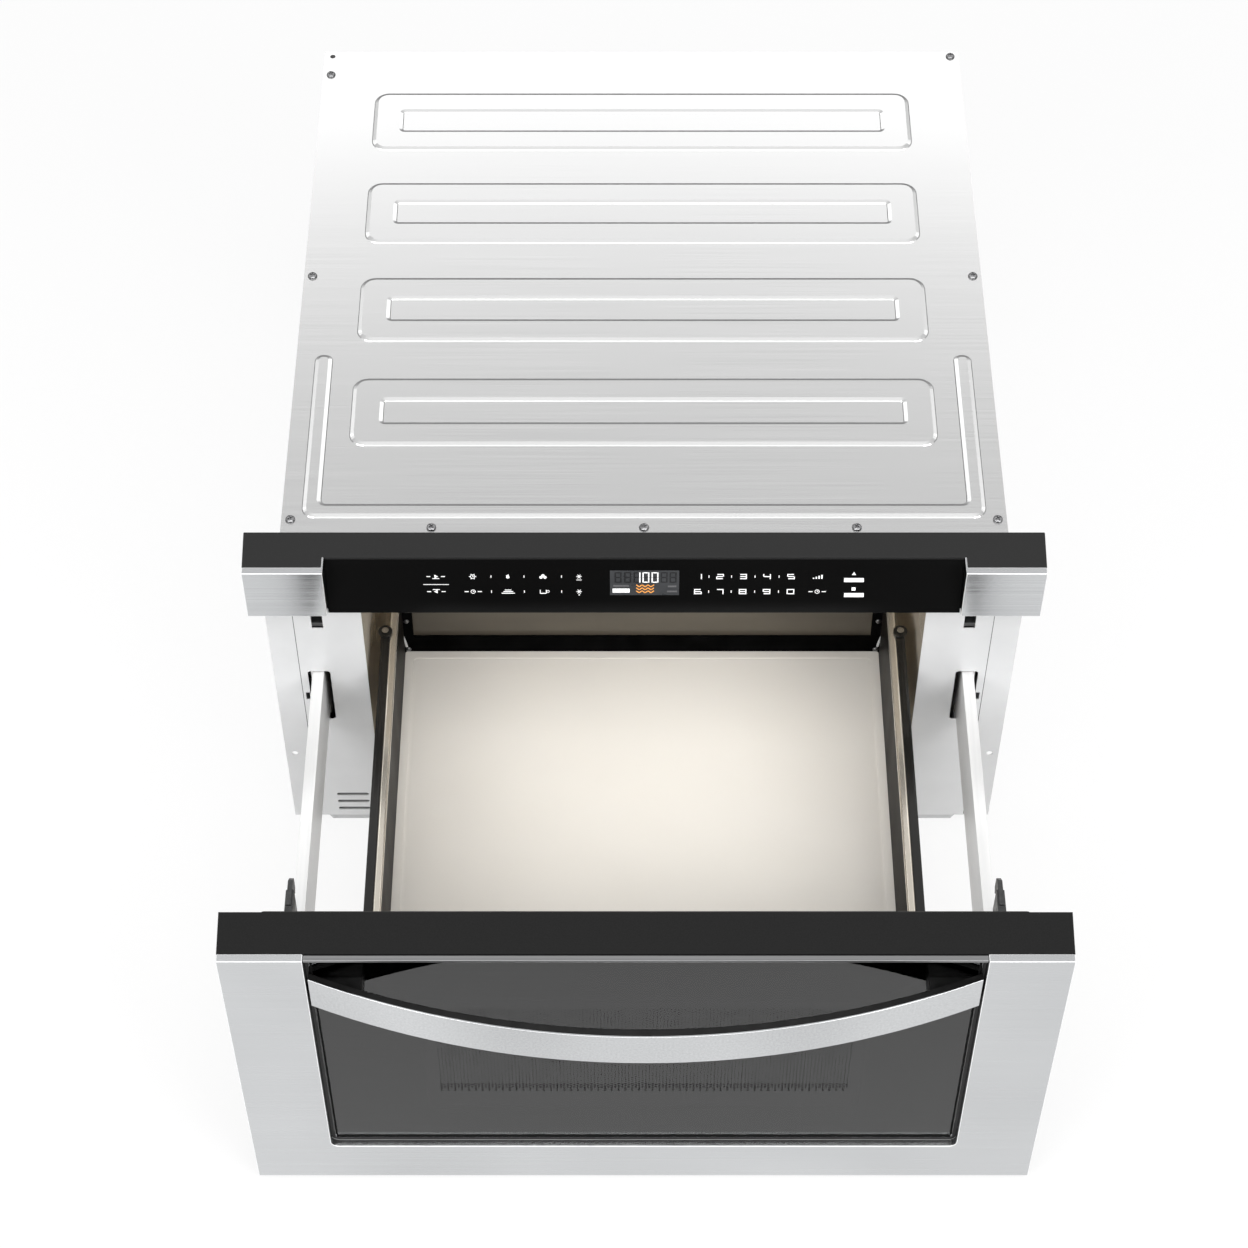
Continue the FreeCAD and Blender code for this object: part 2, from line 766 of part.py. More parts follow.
def control_housing():
    body = new_body()
    cap_back = f"({panel_front} + trim_wrap)"
    plan = [(f"-{half_front}", cap_back), (half_front, cap_back),
            (f"{half_front} + draft", front), (f"-{half_front} - draft", front)]
    pad(body, "XY", (panel_bottom, panel_top), plan)
    lip = f"({panel_top} - glass_lip)"
    recess = [
        (panel_front, panel_bottom), (f"{panel_glass_bottom} + glass_thickness", panel_bottom),
        (f"{lean_at(lip)} + glass_thickness", lip), (lean_at(lip), lip),
        (panel_glass_top, panel_top), (panel_front, panel_top),
    ]
    pocket(body, "YZ", (f"-{half_window} - trim_sheet", f"{half_window} + trim_sheet"), recess)
    hollow_x = f"({half_front} - housing_wall)"
    pocket(body, "XZ", (f"{front} - housing_hollow", front),
           rectangle((f"-{hollow_x}", hollow_x),
                     (f"{panel_bottom} + housing_wall", f"{panel_top} - housing_wall")))
    publish("control_housing", body)


def panel_trim(side, sign):
    """Stainless cap over the end of the control panel, with a cheek beside the leaning glass."""
    body = new_body()
    cap = sided(sign, half_window, half_front)
    pad(body, "XZ", (panel_front, f"{panel_front} + trim_wrap"), rectangle(cap, (panel_bottom, panel_top)))
    hollow = sided(sign, f"{half_window} + trim_sheet", f"{half_front} - trim_sheet")
    pocket(body, "XZ", (f"{panel_front} + trim_sheet", f"{panel_front} + trim_wrap"),
           rectangle(hollow, (f"{panel_bottom} + trim_sheet", f"{panel_top} - trim_sheet")))
    cheek = [(panel_front, panel_bottom), (panel_glass_bottom, panel_bottom),
             (panel_glass_top, panel_top), (panel_front, panel_top)]
    pad(body, "YZ", sided(sign, half_window, f"{half_window} + trim_sheet"), cheek)
    publish(f"panel_trim_{side}", body)


def control_glass():
    body = new_body()
    lip = f"({panel_top} - glass_lip)"
    outline = [
        (panel_glass_bottom, panel_bottom), (f"{panel_glass_bottom} + glass_thickness", panel_bottom),
        (f"{lean_at(lip)} + glass_thickness", lip), (lean_at(lip), lip),
    ]
    x = f"({half_window} - panel_glass_gap)"
    pad(body, "YZ", (f"-{x}", x), outline)
    publish("control_glass", body)


def display_and_board():
    """Display module against the housing's inner wall, and the board that carries it."""
    middle = f"({panel_top} - panel_height / 2)"
    wall = f"({front} - housing_hollow)"
    display = block(("-display_width / 2", "display_width / 2"), (wall, f"{wall} + display_depth"),
                    (f"{middle} - display_height / 2", f"{middle} + display_height / 2"))
    publish("display_module", display)
    board_front = f"({wall} + display_depth)"
    board = block(("-board_length / 2", "board_length / 2"),
                  (board_front, f"{board_front} + board_thickness"),
                  (f"{middle} - board_height / 2", f"{middle} + board_height / 2"))
    chips = []
    for place in (-105, -62, 60, 100):
        chips.append(block((f"{place}", f"{place} + 16"),
                           (f"{board_front} + board_thickness", f"{board_front} + board_thickness + 3"),
                           (f"{middle} - 7", f"{middle} + 7")))
    publish("control_board", fused(board, *chips))


# ---------------------------------------------------------------- door

def door_shell():
    """Charcoal moulded shell that carries the frame and the glass, open towards the back."""
    body = new_body()
    wrap_back = f"({door_front} + trim_wrap)"
    plan = [(f"-{half_front}", wrap_back), (half_front, wrap_back),
            (f"{half_front} + draft", shell_back), (f"-{half_front} - draft", shell_back)]
    pad(body, "XY", (door_bottom, door_top), plan)
    pocket(body, "XZ", (wrap_back, glass_back),
           rectangle((f"-{half_window}", half_window), (window_bottom, window_top), "window_corner"))
    hollow_x = f"({half_front} - shell_wall)"
    pocket(body, "XZ", (f"{glass_back} + shell_wall", shell_back),
           rectangle((f"-{hollow_x}", hollow_x),
                     (f"{door_bottom} + shell_wall", f"{door_top} - shell_wall"), "shell_wall"))
    pocket(body, "XZ", (glass_back, f"{glass_back} + shell_wall"),
           rectangle(("-screen_width / 2", "screen_width / 2"), ("screen_bottom", "screen_top")))
    publish("door_shell", body)


def door_frame():
    """Folded stainless frame: two stiles and a bottom rail, open at the top of the window."""
    body = new_body()
    pad(body, "XZ", (door_front, f"{door_front} + trim_wrap"),
        rectangle((f"-{half_front}", half_front), (door_bottom, door_top)))
    window = [(f"-{half_window}", window_bottom, "window_corner"),
              (half_window, window_bottom, "window_corner"),
              (half_window, door_top), (f"-{half_window}", door_top)]
    pocket(body, "XZ", (door_front, f"{door_front} + trim_wrap"), window)
    outer = f"({half_front} - trim_sheet)"
    inner = f"({half_window} + trim_sheet)"
    low = f"({door_bottom} + trim_sheet)"
    sill = f"({window_bottom} - trim_sheet)"
    high = f"({door_top} - trim_sheet)"
    hollow = [(f"-{outer}", low), (outer, low), (outer, high), (inner, high),
              (inner, sill, "window_corner + trim_sheet"),
              (f"-{inner}", sill, "window_corner + trim_sheet"),
              (f"-{inner}", high), (f"-{outer}", high)]
    pocket(body, "XZ", (f"{door_front} + trim_sheet", f"{door_front} + trim_wrap"), hollow)
    publish("door_frame", body)


def door_top_trim():
    y = (f"{door_front} + top_strip_set_back", f"{door_front} + top_strip_set_back + top_strip_depth")
    x = f"({half_window} - fit_gap)"
    strip = block((f"-{x}", x), y, (window_top, f"{door_top} - fit_gap"))
    keeper = block((f"-{x}", x), (y[1], f"{door_front} + trim_wrap"), (window_top, f"{window_top} + 1"))
    publish("door_top_trim", fused(strip, keeper))


def glass_and_seal():
    outer = (f"-{half_window} + fit_gap", f"{half_window} - fit_gap")
    inner = (f"{outer[0]} + seal_width", f"{outer[1]} - seal_width")
    height = (f"{window_bottom} + fit_gap", f"{window_top} - fit_gap")
    inner_height = (f"{height[0]} + seal_width", f"{height[1]} - seal_width")
    seal = new_body()
    pad(seal, "XZ", (glass_front, glass_back),
        rectangle(outer, height, "window_corner - fit_gap"),
        rectangle(inner, inner_height, "window_corner - seal_width"))
    publish("glass_seal", seal)
    glass = new_body()
    pad(glass, "XZ", (glass_front, glass_back),
        rectangle(inner, inner_height, "window_corner - seal_width"))
    publish("door_glass", glass)


def perforated_screen():
    """Shielding screen behind the window; its middle is pressed forward towards the glass."""
    body = new_body()
    seat = f"({glass_back} + shell_wall)"
    x = "(screen_width / 2 + screen_overlap)"
    pad(body, "XZ", (seat, f"{seat} + sheet"),
        rectangle((f"-{x}", x), ("screen_bottom - screen_overlap", "screen_top + screen_overlap"), "4"))
    low = ("-screen_width / 2 + screen_embossing", "screen_width / 2 - screen_embossing")
    high = ("screen_bottom + screen_embossing", "screen_top - screen_embossing")
    pad(body, "XZ", (f"{seat} - screen_embossing / 2", seat), rectangle(low, high, "4"))
    low_inner = (f"{low[0]} + sheet", f"{low[1]} - sheet")
    high_inner = (f"{high[0]} + sheet", f"{high[1]} - sheet")
    pocket(body, "XZ", (f"{seat} - screen_embossing / 2 + sheet", f"{seat} + sheet"),
           rectangle(low_inner, high_inner, "3"))
    publish("perforated_screen", body)


def door_inner_plate():
    """Steel plate at the back of the door, with the tunnel that clamps the screen's edge."""
    body = new_body()
    z = (f"{door_bottom} + plate_margin", f"{door_top} - plate_margin / 2")
    pad(body, "XZ", (shell_back, door_back), rectangle(("-plate_width / 2", "plate_width / 2"), z, "3"))
    seat = f"({glass_back} + shell_wall + sheet)"
    outer = ("-screen_width / 2 - screen_overlap / 2", "screen_width / 2 + screen_overlap / 2")
    outer_z = ("screen_bottom - screen_overlap / 2", "screen_top + screen_overlap / 2")
    pad(body, "XZ", (seat, shell_back), rectangle(outer, outer_z))
    pocket(body, "XZ", (seat, door_back),
           rectangle(("-screen_width / 2", "screen_width / 2"), ("screen_bottom", "screen_top")))
    publish("door_inner_plate", body)


# ---------------------------------------------------------------- bow handle

half_handle = f"({half_window} - handle_gap)"
handle_low = f"({door_top} - handle_drop - handle_height)"
handle_high = f"({door_top} - handle_drop)"


def bow(depth, sag):
    """Radius of an arc across the handle's length, from the depth of its ends to its sag."""
    return f"(({half_handle} ^ 2 + ({sag}) ^ 2) / (2 * ({sag})))"


def bow_outline(outer_y, outer_sag, inner_y, inner_sag):
    """A crescent in plan: the outer arc, an end, the inner arc back, the other end."""
    left, right = f"-{half_handle}", half_handle
    outer_middle = FreeCAD.Vector(0, number(f"{outer_y} - ({outer_sag})"), 0)
    inner_middle = FreeCAD.Vector(0, number(f"{inner_y} - ({inner_sag})"), 0)
    return [
        ("arc", (left, outer_y), outer_middle, bow(outer_y, outer_sag)),
        ("line", (right, outer_y)),
        ("arc", (right, inner_y), inner_middle, bow(inner_y, inner_sag)),
        ("line", (left, inner_y)),
    ]


bar_ends = f"({door_front} + handle_end)"
bar_sag = "(handle_bow - handle_thickness + handle_end)"
backing_ends = glass_front
backing_sag = f"({bar_sag} - backing_thickness + {backing_ends} - {bar_ends})"


def handle_bar():
    body = new_body()
    pad(body, "XY", (handle_low, handle_high), bow_outline(door_front, "handle_bow", bar_ends, bar_sag))
    publish("handle_bar", body)


def handle_backing():
    """Black backing of the bar, whose ends thicken into the wedges that stand on the glass."""
    body = new_body()
    inset = "(handle_height * 0.03)"
    span = (f"{handle_low} + {inset}", f"{handle_high} - {inset}")
    pad(body, "XY", span, bow_outline(bar_ends, bar_sag, backing_ends, backing_sag))
    reach = f"(bracket_length / {half_handle})"
    drop = f"({backing_sag} * (1 - (1 - {reach}) ^ 2))"
    for side, sign in SIDES:
        wedge = [
            (f"{sign} * {half_handle}", backing_ends),
            (f"{sign} * ({half_handle} - bracket_length)", backing_ends),
            (f"{sign} * ({half_handle} - bracket_length)",
             f"{backing_ends} - {drop} - backing_thickness / 2"),
            (f"{sign} * {half_handle}", f"{backing_ends} - backing_thickness / 2"),
        ]
        pad(body, "XY", (f"{handle_low} + handle_height / 5", f"{handle_high} - handle_height / 5"), wedge)
    publish("handle_backing", body)


# ---------------------------------------------------------------- tray

def ceramic_floor():
    body = new_body()
    x = f"({half_tray} - fit_gap)"
    y = (f"{door_back} + fit_gap", f"{tray_rear} - rear_frame_depth - fit_gap")
    pad(body, "XY", (pan_top, "tray_floor"), rectangle((f"-{x}", x), y, "ceramic_corner / 2"))
    sunk = rectangle((f"-{x} + ceramic_rim", f"{x} - ceramic_rim"),
                     (f"{y[0]} + ceramic_rim", f"{y[1]} - ceramic_rim"), "ceramic_corner")
    pocket(body, "XY", ("tray_floor - ceramic_sink", "tray_floor"), sunk)
    publish("ceramic_floor", body)


def tray_pan():
    """Folded pan under the ceramic, with its long edges turned down."""
    body = new_body()
    fold = "pan_sheet"
    profile = [
        (f"-{half_tray}", pan_bottom), (f"-{half_tray} + {fold}", pan_bottom),
        (f"-{half_tray} + {fold}", f"{pan_top} - {fold}"), (f"{half_tray} - {fold}", f"{pan_top} - {fold}"),
        (f"{half_tray} - {fold}", pan_bottom), (half_tray, pan_bottom),
        (half_tray, pan_top), (f"-{half_tray}", pan_top),
    ]
    pad(body, "XZ", (door_back, f"{tray_rear} - rear_frame_depth"), profile)
    publish("tray_pan", body)


def tray_side(side, sign):
    """Wall of the tray, whose upper edge is rolled into a rim that stands over its inside."""
    body = new_body()
    inner, outer = half_tray, f"({half_tray} + tray_wall)"
    rim, under_rim = f"({half_tray} - rim_overhang)", f"({tray_top} - rim_height)"
    roll = "rim_height / 2 - 0.05"
    profile = [
        (f"{sign} * {inner}", pan_bottom), (f"{sign} * {outer}", pan_bottom),
        (f"{sign} * {outer}", tray_top, roll), (f"{sign} * {rim}", tray_top, roll),
        (f"{sign} * {rim}", under_rim), (f"{sign} * {inner}", under_rim),
    ]
    pad(body, "XZ", (door_back, f"{tray_rear} - rear_frame_depth"), profile)
    publish(f"tray_side_{side}", body)


def side_rail(side, sign):
    """Dark rail outside the tray's wall, closed at the rear by a round end with its rivet."""
    body = new_body()
    inner = f"({half_tray} + tray_wall)"
    outer = f"({inner} + side_rail_width)"
    end = f"({tray_rear} - side_rail_short)"
    round_end = "side_rail_width / 2 - 0.05"
    plan = [
        (f"{sign} * {inner}", door_back), (f"{sign} * {outer}", door_back),
        (f"{sign} * {outer}", end, round_end), (f"{sign} * {inner}", end, round_end),
    ]
    pad(body, "XY", (f"{tray_top} - side_rail_height", tray_top), plan)
    disc = f"{sign} * ({half_tray} + tray_wall + side_rail_width / 2)"
    pad(body, "XY", (tray_top, f"{tray_top} + rail_disc_height"),
        circle(disc, f"{end} - rail_disc", "rail_disc"))
    pad(body, "XY", (f"{tray_top} + rail_disc_height", f"{tray_top} + rail_disc_height * 1.6"),
        circle(disc, f"{end} - rail_disc", "rail_disc / 2"))
    publish(f"side_rail_{side}", body)


def rear_wall():
    """Black frame across the tray's rear, and the leaning satin panel that closes it."""
    frame = new_body()
    x = f"({half_tray} + tray_wall)"
    y = (f"{tray_rear} - rear_frame_depth", tray_rear)
    pad(frame, "XZ", y, rectangle((f"-{x}", x), (pan_bottom, tray_top)))
    window_x = f"({x} - rear_post)"
    pocket(frame, "XZ", y, rectangle((f"-{window_x}", window_x),
                                     ("tray_floor + rear_bottom_rail", f"{tray_top} - rear_top_rail")))
    publish("rear_wall_frame", frame)
    panel = new_body()
    low = "(tray_floor + rear_bottom_rail / 2)"
    thick = "sheet"
    profile = [
        (tray_rear, low), (f"{tray_rear} + {thick}", low),
        (f"{tray_rear} + rear_panel_lean + {thick}", tray_top),
        (f"{tray_rear} + rear_panel_lean", tray_top),
    ]
    wide = f"({x} - rear_post / 2)"
    pad(panel, "YZ", (f"-{wide}", wide), profile)
    publish("rear_wall_panel", panel)
    screws = []
    for side, sign in SIDES:
        for height in ("rear_screw_low", "rear_screw_high"):
            place = (f"{sign} * ({half_tray} - rear_screw_head - fit_gap)",
                     f"{y[0]} - rear_screw_height", height)
            screws.append(rod("Y", "rear_screw_head * 0.7", place, "rear_screw_height", "rear_screw_head"))
    publish("rear_wall_screws", group(*screws))


# ---------------------------------------------------------------- slides, hooks and latches

def slide_bar(side, sign):
    """Rolled channel that carries the drawer, open on its outer side."""
    body = new_body()
    inner, outer = "bar_inset", "(bar_inset + bar_width)"
    web = "(bar_inset + bar_wall)"
    profile = [
        (inner, "bar_bottom"), (outer, "bar_bottom"), (outer, "bar_bottom + bar_wall"),
        (web, "bar_bottom + bar_wall"),
        (web, f"{bar_top} - bar_wall"), (outer, f"{bar_top} - bar_wall"), (outer, bar_top),
        (inner, bar_top),
    ]
    pad(body, "XZ", (door_back, f"{door_back} + bar_length"), [(f"{sign} * ({x})", z) for x, z in profile])
    publish(f"slide_bar_{side}", body)


def slide_guide(side, sign):
    """Fixed channel on the side panel, with the bracket and axle of its front roller."""
    body = new_body()
    inner = "(bar_inset - 2)"
    web = "(bar_inset + bar_width + slide_gap)"
    web_back = f"({web} + guide_wall)"
    low = "(bar_bottom - slide_gap)"
    high = f"({bar_top} + slide_gap)"
    start = f"({front} + sheet + guide_start)"
    end = f"({front} + guide_length)"
    shelf_start = f"({front} + roller_space)"
    top_shelf = rectangle(sided(sign, inner, inner_side), (high, f"{high} + guide_wall"))
    web_plate = rectangle(sided(sign, web, web_back), (f"{low} - guide_wall", high))
    low_shelf = rectangle(sided(sign, inner, inner_side), (f"{low} - guide_wall", low))
    pad(body, "XZ", (start, end), web_plate)
    pad(body, "XZ", (start, end), top_shelf)
    pad(body, "XZ", (shelf_start, end), low_shelf)
    axle_back = f"({front} + roller_set_back)"
    axle_height = f"({low} - roller_radius)"
    bracket = rectangle((f"{axle_back} - roller_radius", shelf_start),
                        (f"{axle_height} - roller_radius", high))
    pad(body, "YZ", sided(sign, web, web_back), bracket)
    axle = sided(sign, f"{web} - roller_width - 2 * slide_gap", web)
    pad(body, "YZ", axle, circle(axle_back, axle_height, "roller_axle"))
    publish(f"slide_guide_{side}", body)
    roller = new_body()
    reach = sided(sign, f"{web} - roller_width - slide_gap", f"{web} - slide_gap")
    pad(roller, "YZ", reach, circle(axle_back, axle_height, "roller_radius"),
        circle(axle_back, axle_height, "roller_axle + running_gap"))
    publish(f"guide_roller_{side}", roller)


def door_hooks():
    """Interlock hooks on the back of the door: a deep root and a thinner finger with a nose."""
    hooks = []
    low, high = hook_low, hook_high
    for side, sign in SIDES:
        body = new_body()
        root = [
            (door_back, low), (f"{door_back} + hook_shoulder - 4", low),
            (f"{door_back} + hook_shoulder", f"{low} + 4"),
            (f"{door_back} + hook_shoulder", high), (door_back, high),
        ]
        pad(body, "YZ", sided(sign, "hook_inset", "hook_inset + hook_width"), root)
        nose = f"({high} - hook_finger)"
        finger = [
            (f"{door_back} + hook_shoulder / 2", nose), (f"{door_back} + hook_length - 4", nose),
            (f"{door_back} + hook_length - 4", f"{nose} - 4"), (f"{door_back} + hook_length", nose),
            (f"{door_back} + hook_length", f"{high} - 3"),
            (f"{door_back} + hook_length - 5", f"{high} + 2"),
            (f"{door_back} + hook_shoulder / 2", f"{high} + 2"),
        ]
        spare = "(hook_width - hook_finger_width) / 2"
        pad(body, "YZ", sided(sign, f"hook_inset + {spare}", f"hook_inset + hook_width - {spare}"), finger)
        hooks.append(body)
    publish("door_hooks", group(*hooks))


def latch_switches():
    """Switch holders behind the hook slots; each is open at the front for its hook."""
    holders = []
    start = f"({front} + sheet)"
    for side, sign in SIDES:
        body = new_body()
        gap = "(hook_slot_gap + latch_wall)"
        x = sided(sign, f"hook_inset - {gap}", f"hook_inset + hook_width + {gap}")
        z = (f"{hook_low} - {gap}", f"{hook_high} + {gap} + hook_slot_gap")
        pad(body, "XZ", (start, f"{start} + latch_depth"), rectangle(x, z))
        free_x = sided(sign, "hook_inset - hook_slot_gap", "hook_inset + hook_width + hook_slot_gap")
        free_z = (f"{hook_low} - hook_slot_gap", f"{hook_high} + 2 * hook_slot_gap")
        pocket(body, "XZ", (start, f"{start} + latch_depth - latch_wall"), rectangle(free_x, free_z))
        wing = sided(sign, f"hook_inset + hook_width + {gap}", inner_side)
        pad(body, "XZ", (start, f"{start} + latch_wall"), rectangle(wing, z))
        holders.append(body)
    publish("latch_switches", group(*holders))


# ---------------------------------------------------------------- rack and pinion drive

def drive_rack():
    """Toothed bar under the oven, fixed to the door; its straight-flanked teeth point down."""
    body = new_body()
    start, end = door_back, f"({door_back} + bar_length)"
    x = ("-rack_width / 2", "rack_width / 2")
    pad(body, "XZ", (start, end), rectangle(x, (rack_root, f"{rack_root} + rack_height")))
    pitch = "(gear_module * pi)"
    slope = f"{math.tan(PRESSURE_ANGLE):.9f}"
    half_tooth = f"({pitch} / 4 - gear_backlash / 2)"
    first = f"({pinion_back} - {pitch} * {RACK_TEETH - 3.5})"
    root_half = f"({half_tooth} + 1.25 * gear_module * {slope})"
    tip_half = f"({half_tooth} - gear_module * {slope})"
    tip = "(rack_pitch_line - gear_module)"
    tooth = [
        (f"{first} - {root_half}", f"{rack_root} + 1"), (f"{first} - {root_half}", rack_root),
        (f"{first} - {tip_half}", tip), (f"{first} + {tip_half}", tip),
        (f"{first} + {root_half}", rack_root), (f"{first} + {root_half}", f"{rack_root} + 1"),
    ]
    one = pad(body, "YZ", ("-pinion_width / 2", "pinion_width / 2"), tooth)
    repeat(body, one, "Y", pitch, RACK_TEETH)
    publish("drive_rack", body)


def involute(angle):
    return math.tan(angle) - angle


def drive_pinion():
    """Involute pinion on the motor's shaft, in mesh under the rack."""
    body = new_body()
    pitch_r = number(pitch_radius)
    base_r = pitch_r * math.cos(PRESSURE_ANGLE)
    root_r = pitch_r - 1.25 * number("gear_module")
    tip_r = pitch_r + number("gear_module")
    thin = number("gear_backlash") / 4 / pitch_r

    def flank(radius, side):
        """A point of the tooth's flank, with the tooth's middle straight up."""
        pressure = math.acos(min(1, base_r / radius))
        half = math.pi / 2 / PINION_TEETH - thin + involute(PRESSURE_ANGLE) - involute(pressure)
        return FreeCAD.Vector(side * radius * math.sin(half), radius * math.cos(half), 0)

    def as_place(vector):
        return (f"{vector.x:.6f}", f"{vector.y:.6f}")

    sunk_r = root_r - 1
    half_root = flank(base_r, 1).x / base_r
    left_root = FreeCAD.Vector(-sunk_r * half_root, sunk_r, 0)
    right_root = FreeCAD.Vector(sunk_r * half_root, sunk_r, 0)
    middle_r = (base_r + tip_r) / 2
    tooth = [as_place(left_root), as_place(flank(base_r, -1)), as_place(flank(middle_r, -1)),
             as_place(flank(tip_r, -1)),
             as_place(flank(tip_r, 1)), as_place(flank(middle_r, 1)), as_place(flank(base_r, 1)),
             as_place(right_root)]
    width = ("-pinion_width / 2", "pinion_width / 2")
    pad(body, "YZ", width, circle("0", "0", f"{root_r:.6f}"))
    one = pad(body, "YZ", width, tooth)
    revolve_copies(body, one, "X", PINION_TEETH)
    pad(body, "YZ", ("-pinion_width / 2 - 4", "pinion_width / 2 + 24"), circle("0", "0", "pinion_shaft"))
    bind(body, "Placement.Base.y", pinion_back)
    bind(body, "Placement.Base.z", pinion_height)
    publish("drive_pinion", body)


def rack_guide():
    """Channel that hangs under the oven and holds the rack from above and both sides."""
    body = new_body()
    top = f"({rack_root} + rack_height + slide_gap)"
    side = "(rack_width / 2 + slide_gap)"
    wall = "rack_guide_wall"
    profile = [
        (f"-{side} - {wall}", f"{top} - rack_guide_drop"), (f"-{side}", f"{top} - rack_guide_drop"),
        (f"-{side}", top),
        (side, top), (side, f"{top} - rack_guide_drop"), (f"{side} + {wall}", f"{top} - rack_guide_drop"),
        (f"{side} + {wall}", f"{top} + {wall}"), (wall, f"{top} + {wall}"),
        (wall, "opening_bottom - sheet"),
        (f"-{wall}", "opening_bottom - sheet"), (f"-{wall}", f"{top} + {wall}"),
        (f"-{side} - {wall}", f"{top} + {wall}"),
    ]
    pad(body, "XZ", (f"{front} + sheet", f"{liner_back} - 1"), profile)
    publish("rack_guide", body)


def motor_and_bracket():
    """Geared drawer motor beside the pinion, on an angle bracket that stands on the base."""
    plate = ("(pinion_width / 2 + 7)", "(pinion_width / 2 + 9)")
    span = (f"{pinion_back} - 26", f"{pinion_back} + 26")
    upright = block(plate, span, ("sheet", f"{pinion_height} + 9"))
    foot = block((plate[0], "(pinion_width / 2 + 50)"), span, ("sheet", "sheet + 2"))
    hole = rod("X", "pinion_shaft + 3", (f"{plate[0]} - 1", pinion_back, pinion_height), "4")
    publish("motor_bracket", without(fused(upright, foot), hole))
    gearbox_end = f"({plate[1]} + 24)"
    gearbox = block((plate[1], gearbox_end), (f"{pinion_back} - 22", f"{pinion_back} + 22"),
                    (f"{pinion_height} - 24", f"{pinion_height} + 24"))
    seat = rod("X", "pinion_shaft + running_gap", (plate[1], pinion_back, pinion_height), "18")
    can = rod("X", "motor_radius", (gearbox_end, pinion_back, pinion_height), "motor_length")
    boss = rod("X", "motor_radius / 3", (f"{gearbox_end} + motor_length", pinion_back, pinion_height), "4")
    publish("drawer_motor", fused(without(gearbox, seat), can, boss))


# ---------------------------------------------------------------- microwave source and stirrer

def stirrer_parts():
    """Cover under the cavity's ceiling, the bladed stirrer inside it and the motor above."""
    cover = new_body()
    x, y = "(stirrer_cover_width / 2)", "(stirrer_cover_depth / 2)"
    low = "opening_top - stirrer_cover_height"
    wall = "stirrer_cover_wall"
    pad(cover, "XY", (low, "opening_top"),
        rectangle((f"-{x}", x), (f"{stirrer_back} - {y}", f"{stirrer_back} + {y}"), "12"))
    pocket(cover, "XY", (f"{low} + {wall}", "opening_top"),
           rectangle((f"-{x} + {wall}", f"{x} - {wall}"),
                     (f"{stirrer_back} - {y} + {wall}", f"{stirrer_back} + {y} - {wall}"), f"12 - {wall}"))
    publish("stirrer_cover", cover)
    stirrer = new_body()
    level = "(opening_top - stirrer_drop)"
    pad(stirrer, "XY", (f"{level} - 3", f"{level} + 5"), circle("0", "0", "stirrer_shaft + 5"))
    blade = [("-12", "0"), ("12", "0"), ("18", "stirrer_radius"), ("-18", "stirrer_radius * 0.86")]
    one = pad(stirrer, "XY", (level, f"{level} + sheet"), blade)
    revolve_copies(stirrer, one, "Z", STIRRER_BLADES)
    pad(stirrer, "XY", (level, f"{liner_top} + wave_height + 10"), circle("0", "0", "stirrer_shaft"))
    bind(stirrer, "Placement.Base.y", stirrer_back)
    publish("stirrer_fan", stirrer)
    base = f"({liner_top} + wave_height)"
    can = rod("Z", "16", ("0", stirrer_back, base), "15")
    plate = block(("-26", "26"), (f"{stirrer_back} - 8", f"{stirrer_back} + 8"), (base, f"{base} + sheet"))
    seat = rod("Z", "stirrer_shaft + running_gap", ("0", stirrer_back, base), "11")
    publish("stirrer_motor", without(fused(can, plate), seat))


def waveguide():
    """Rectangular duct over the cavity, from the magnetron's antenna to the stirrer's port."""
    x = "(wave_width / 2)"
    y = (f"{front} + wave_start", f"{front} + wave_end")
    z = (liner_top, f"{liner_top} + wave_height")
    duct = block((f"-{x}", x), y, z)
    bore = block((f"-{x} + sheet", f"{x} - sheet"), (f"{y[0]} + sheet", f"{y[1]} - sheet"),
                 (f"{z[0]} + sheet", f"{z[1]} - sheet"))
    port = block(("-port_width / 2", "port_width / 2"),
                 (f"{stirrer_back} - port_depth / 2", f"{stirrer_back} + port_depth / 2"),
                 (z[0], f"{z[0]} + sheet"))
    mouth = rod("Z", "antenna_radius + 4", ("0", magnetron_back, z[0]), "sheet")
    shaft = rod("Z", "stirrer_shaft + 2", ("0", stirrer_back, f"{z[1]} - sheet"), "sheet")
    publish("waveguide", without(duct, bore, port, mouth, shaft))


def magnetron():
    """Yoke open to the cooling air, anode with its stack of fins, antenna and filter box."""
    top = liner_top
    low = f"({liner_top} - magnetron_height)"
    x, y = "(magnetron_width / 2)", "(magnetron_depth / 2)"
    yoke = block((f"-{x}", x), (f"{magnetron_back} - {y}", f"{magnetron_back} + {y}"), (low, top))
    window = block((f"-{x} + 2", f"{x} - 2"), (f"{magnetron_back} - {y}", f"{magnetron_back} + {y}"),
                   (f"{low} + 2", f"{top} - 2"))
    anode = rod("Z", "anode_radius", ("0", magnetron_back, f"{low} + 1"), "magnetron_height - 2")
    fins = []
    for i in range(MAGNETRON_FINS):
        height = f"({low} + magnetron_height * {i + 1} / {MAGNETRON_FINS + 1})"
        fins.append(block((f"-{x} + 1", f"{x} - 1"),
                          (f"{magnetron_back} - {y} + 3", f"{magnetron_back} + {y} - 3"),
                          (height, f"{height} + 1")))
    antenna = rod("Z", "antenna_radius", ("0", magnetron_back, f"{top} - 1"), "antenna_height")
    filter_box = block(("-30", "30"), (f"{magnetron_back} - 26", f"{magnetron_back} + 26"),
                       (f"{low} - 30", f"{low}"))
    publish("magnetron", fused(without(yoke, window), anode, antenna, filter_box, *fins))


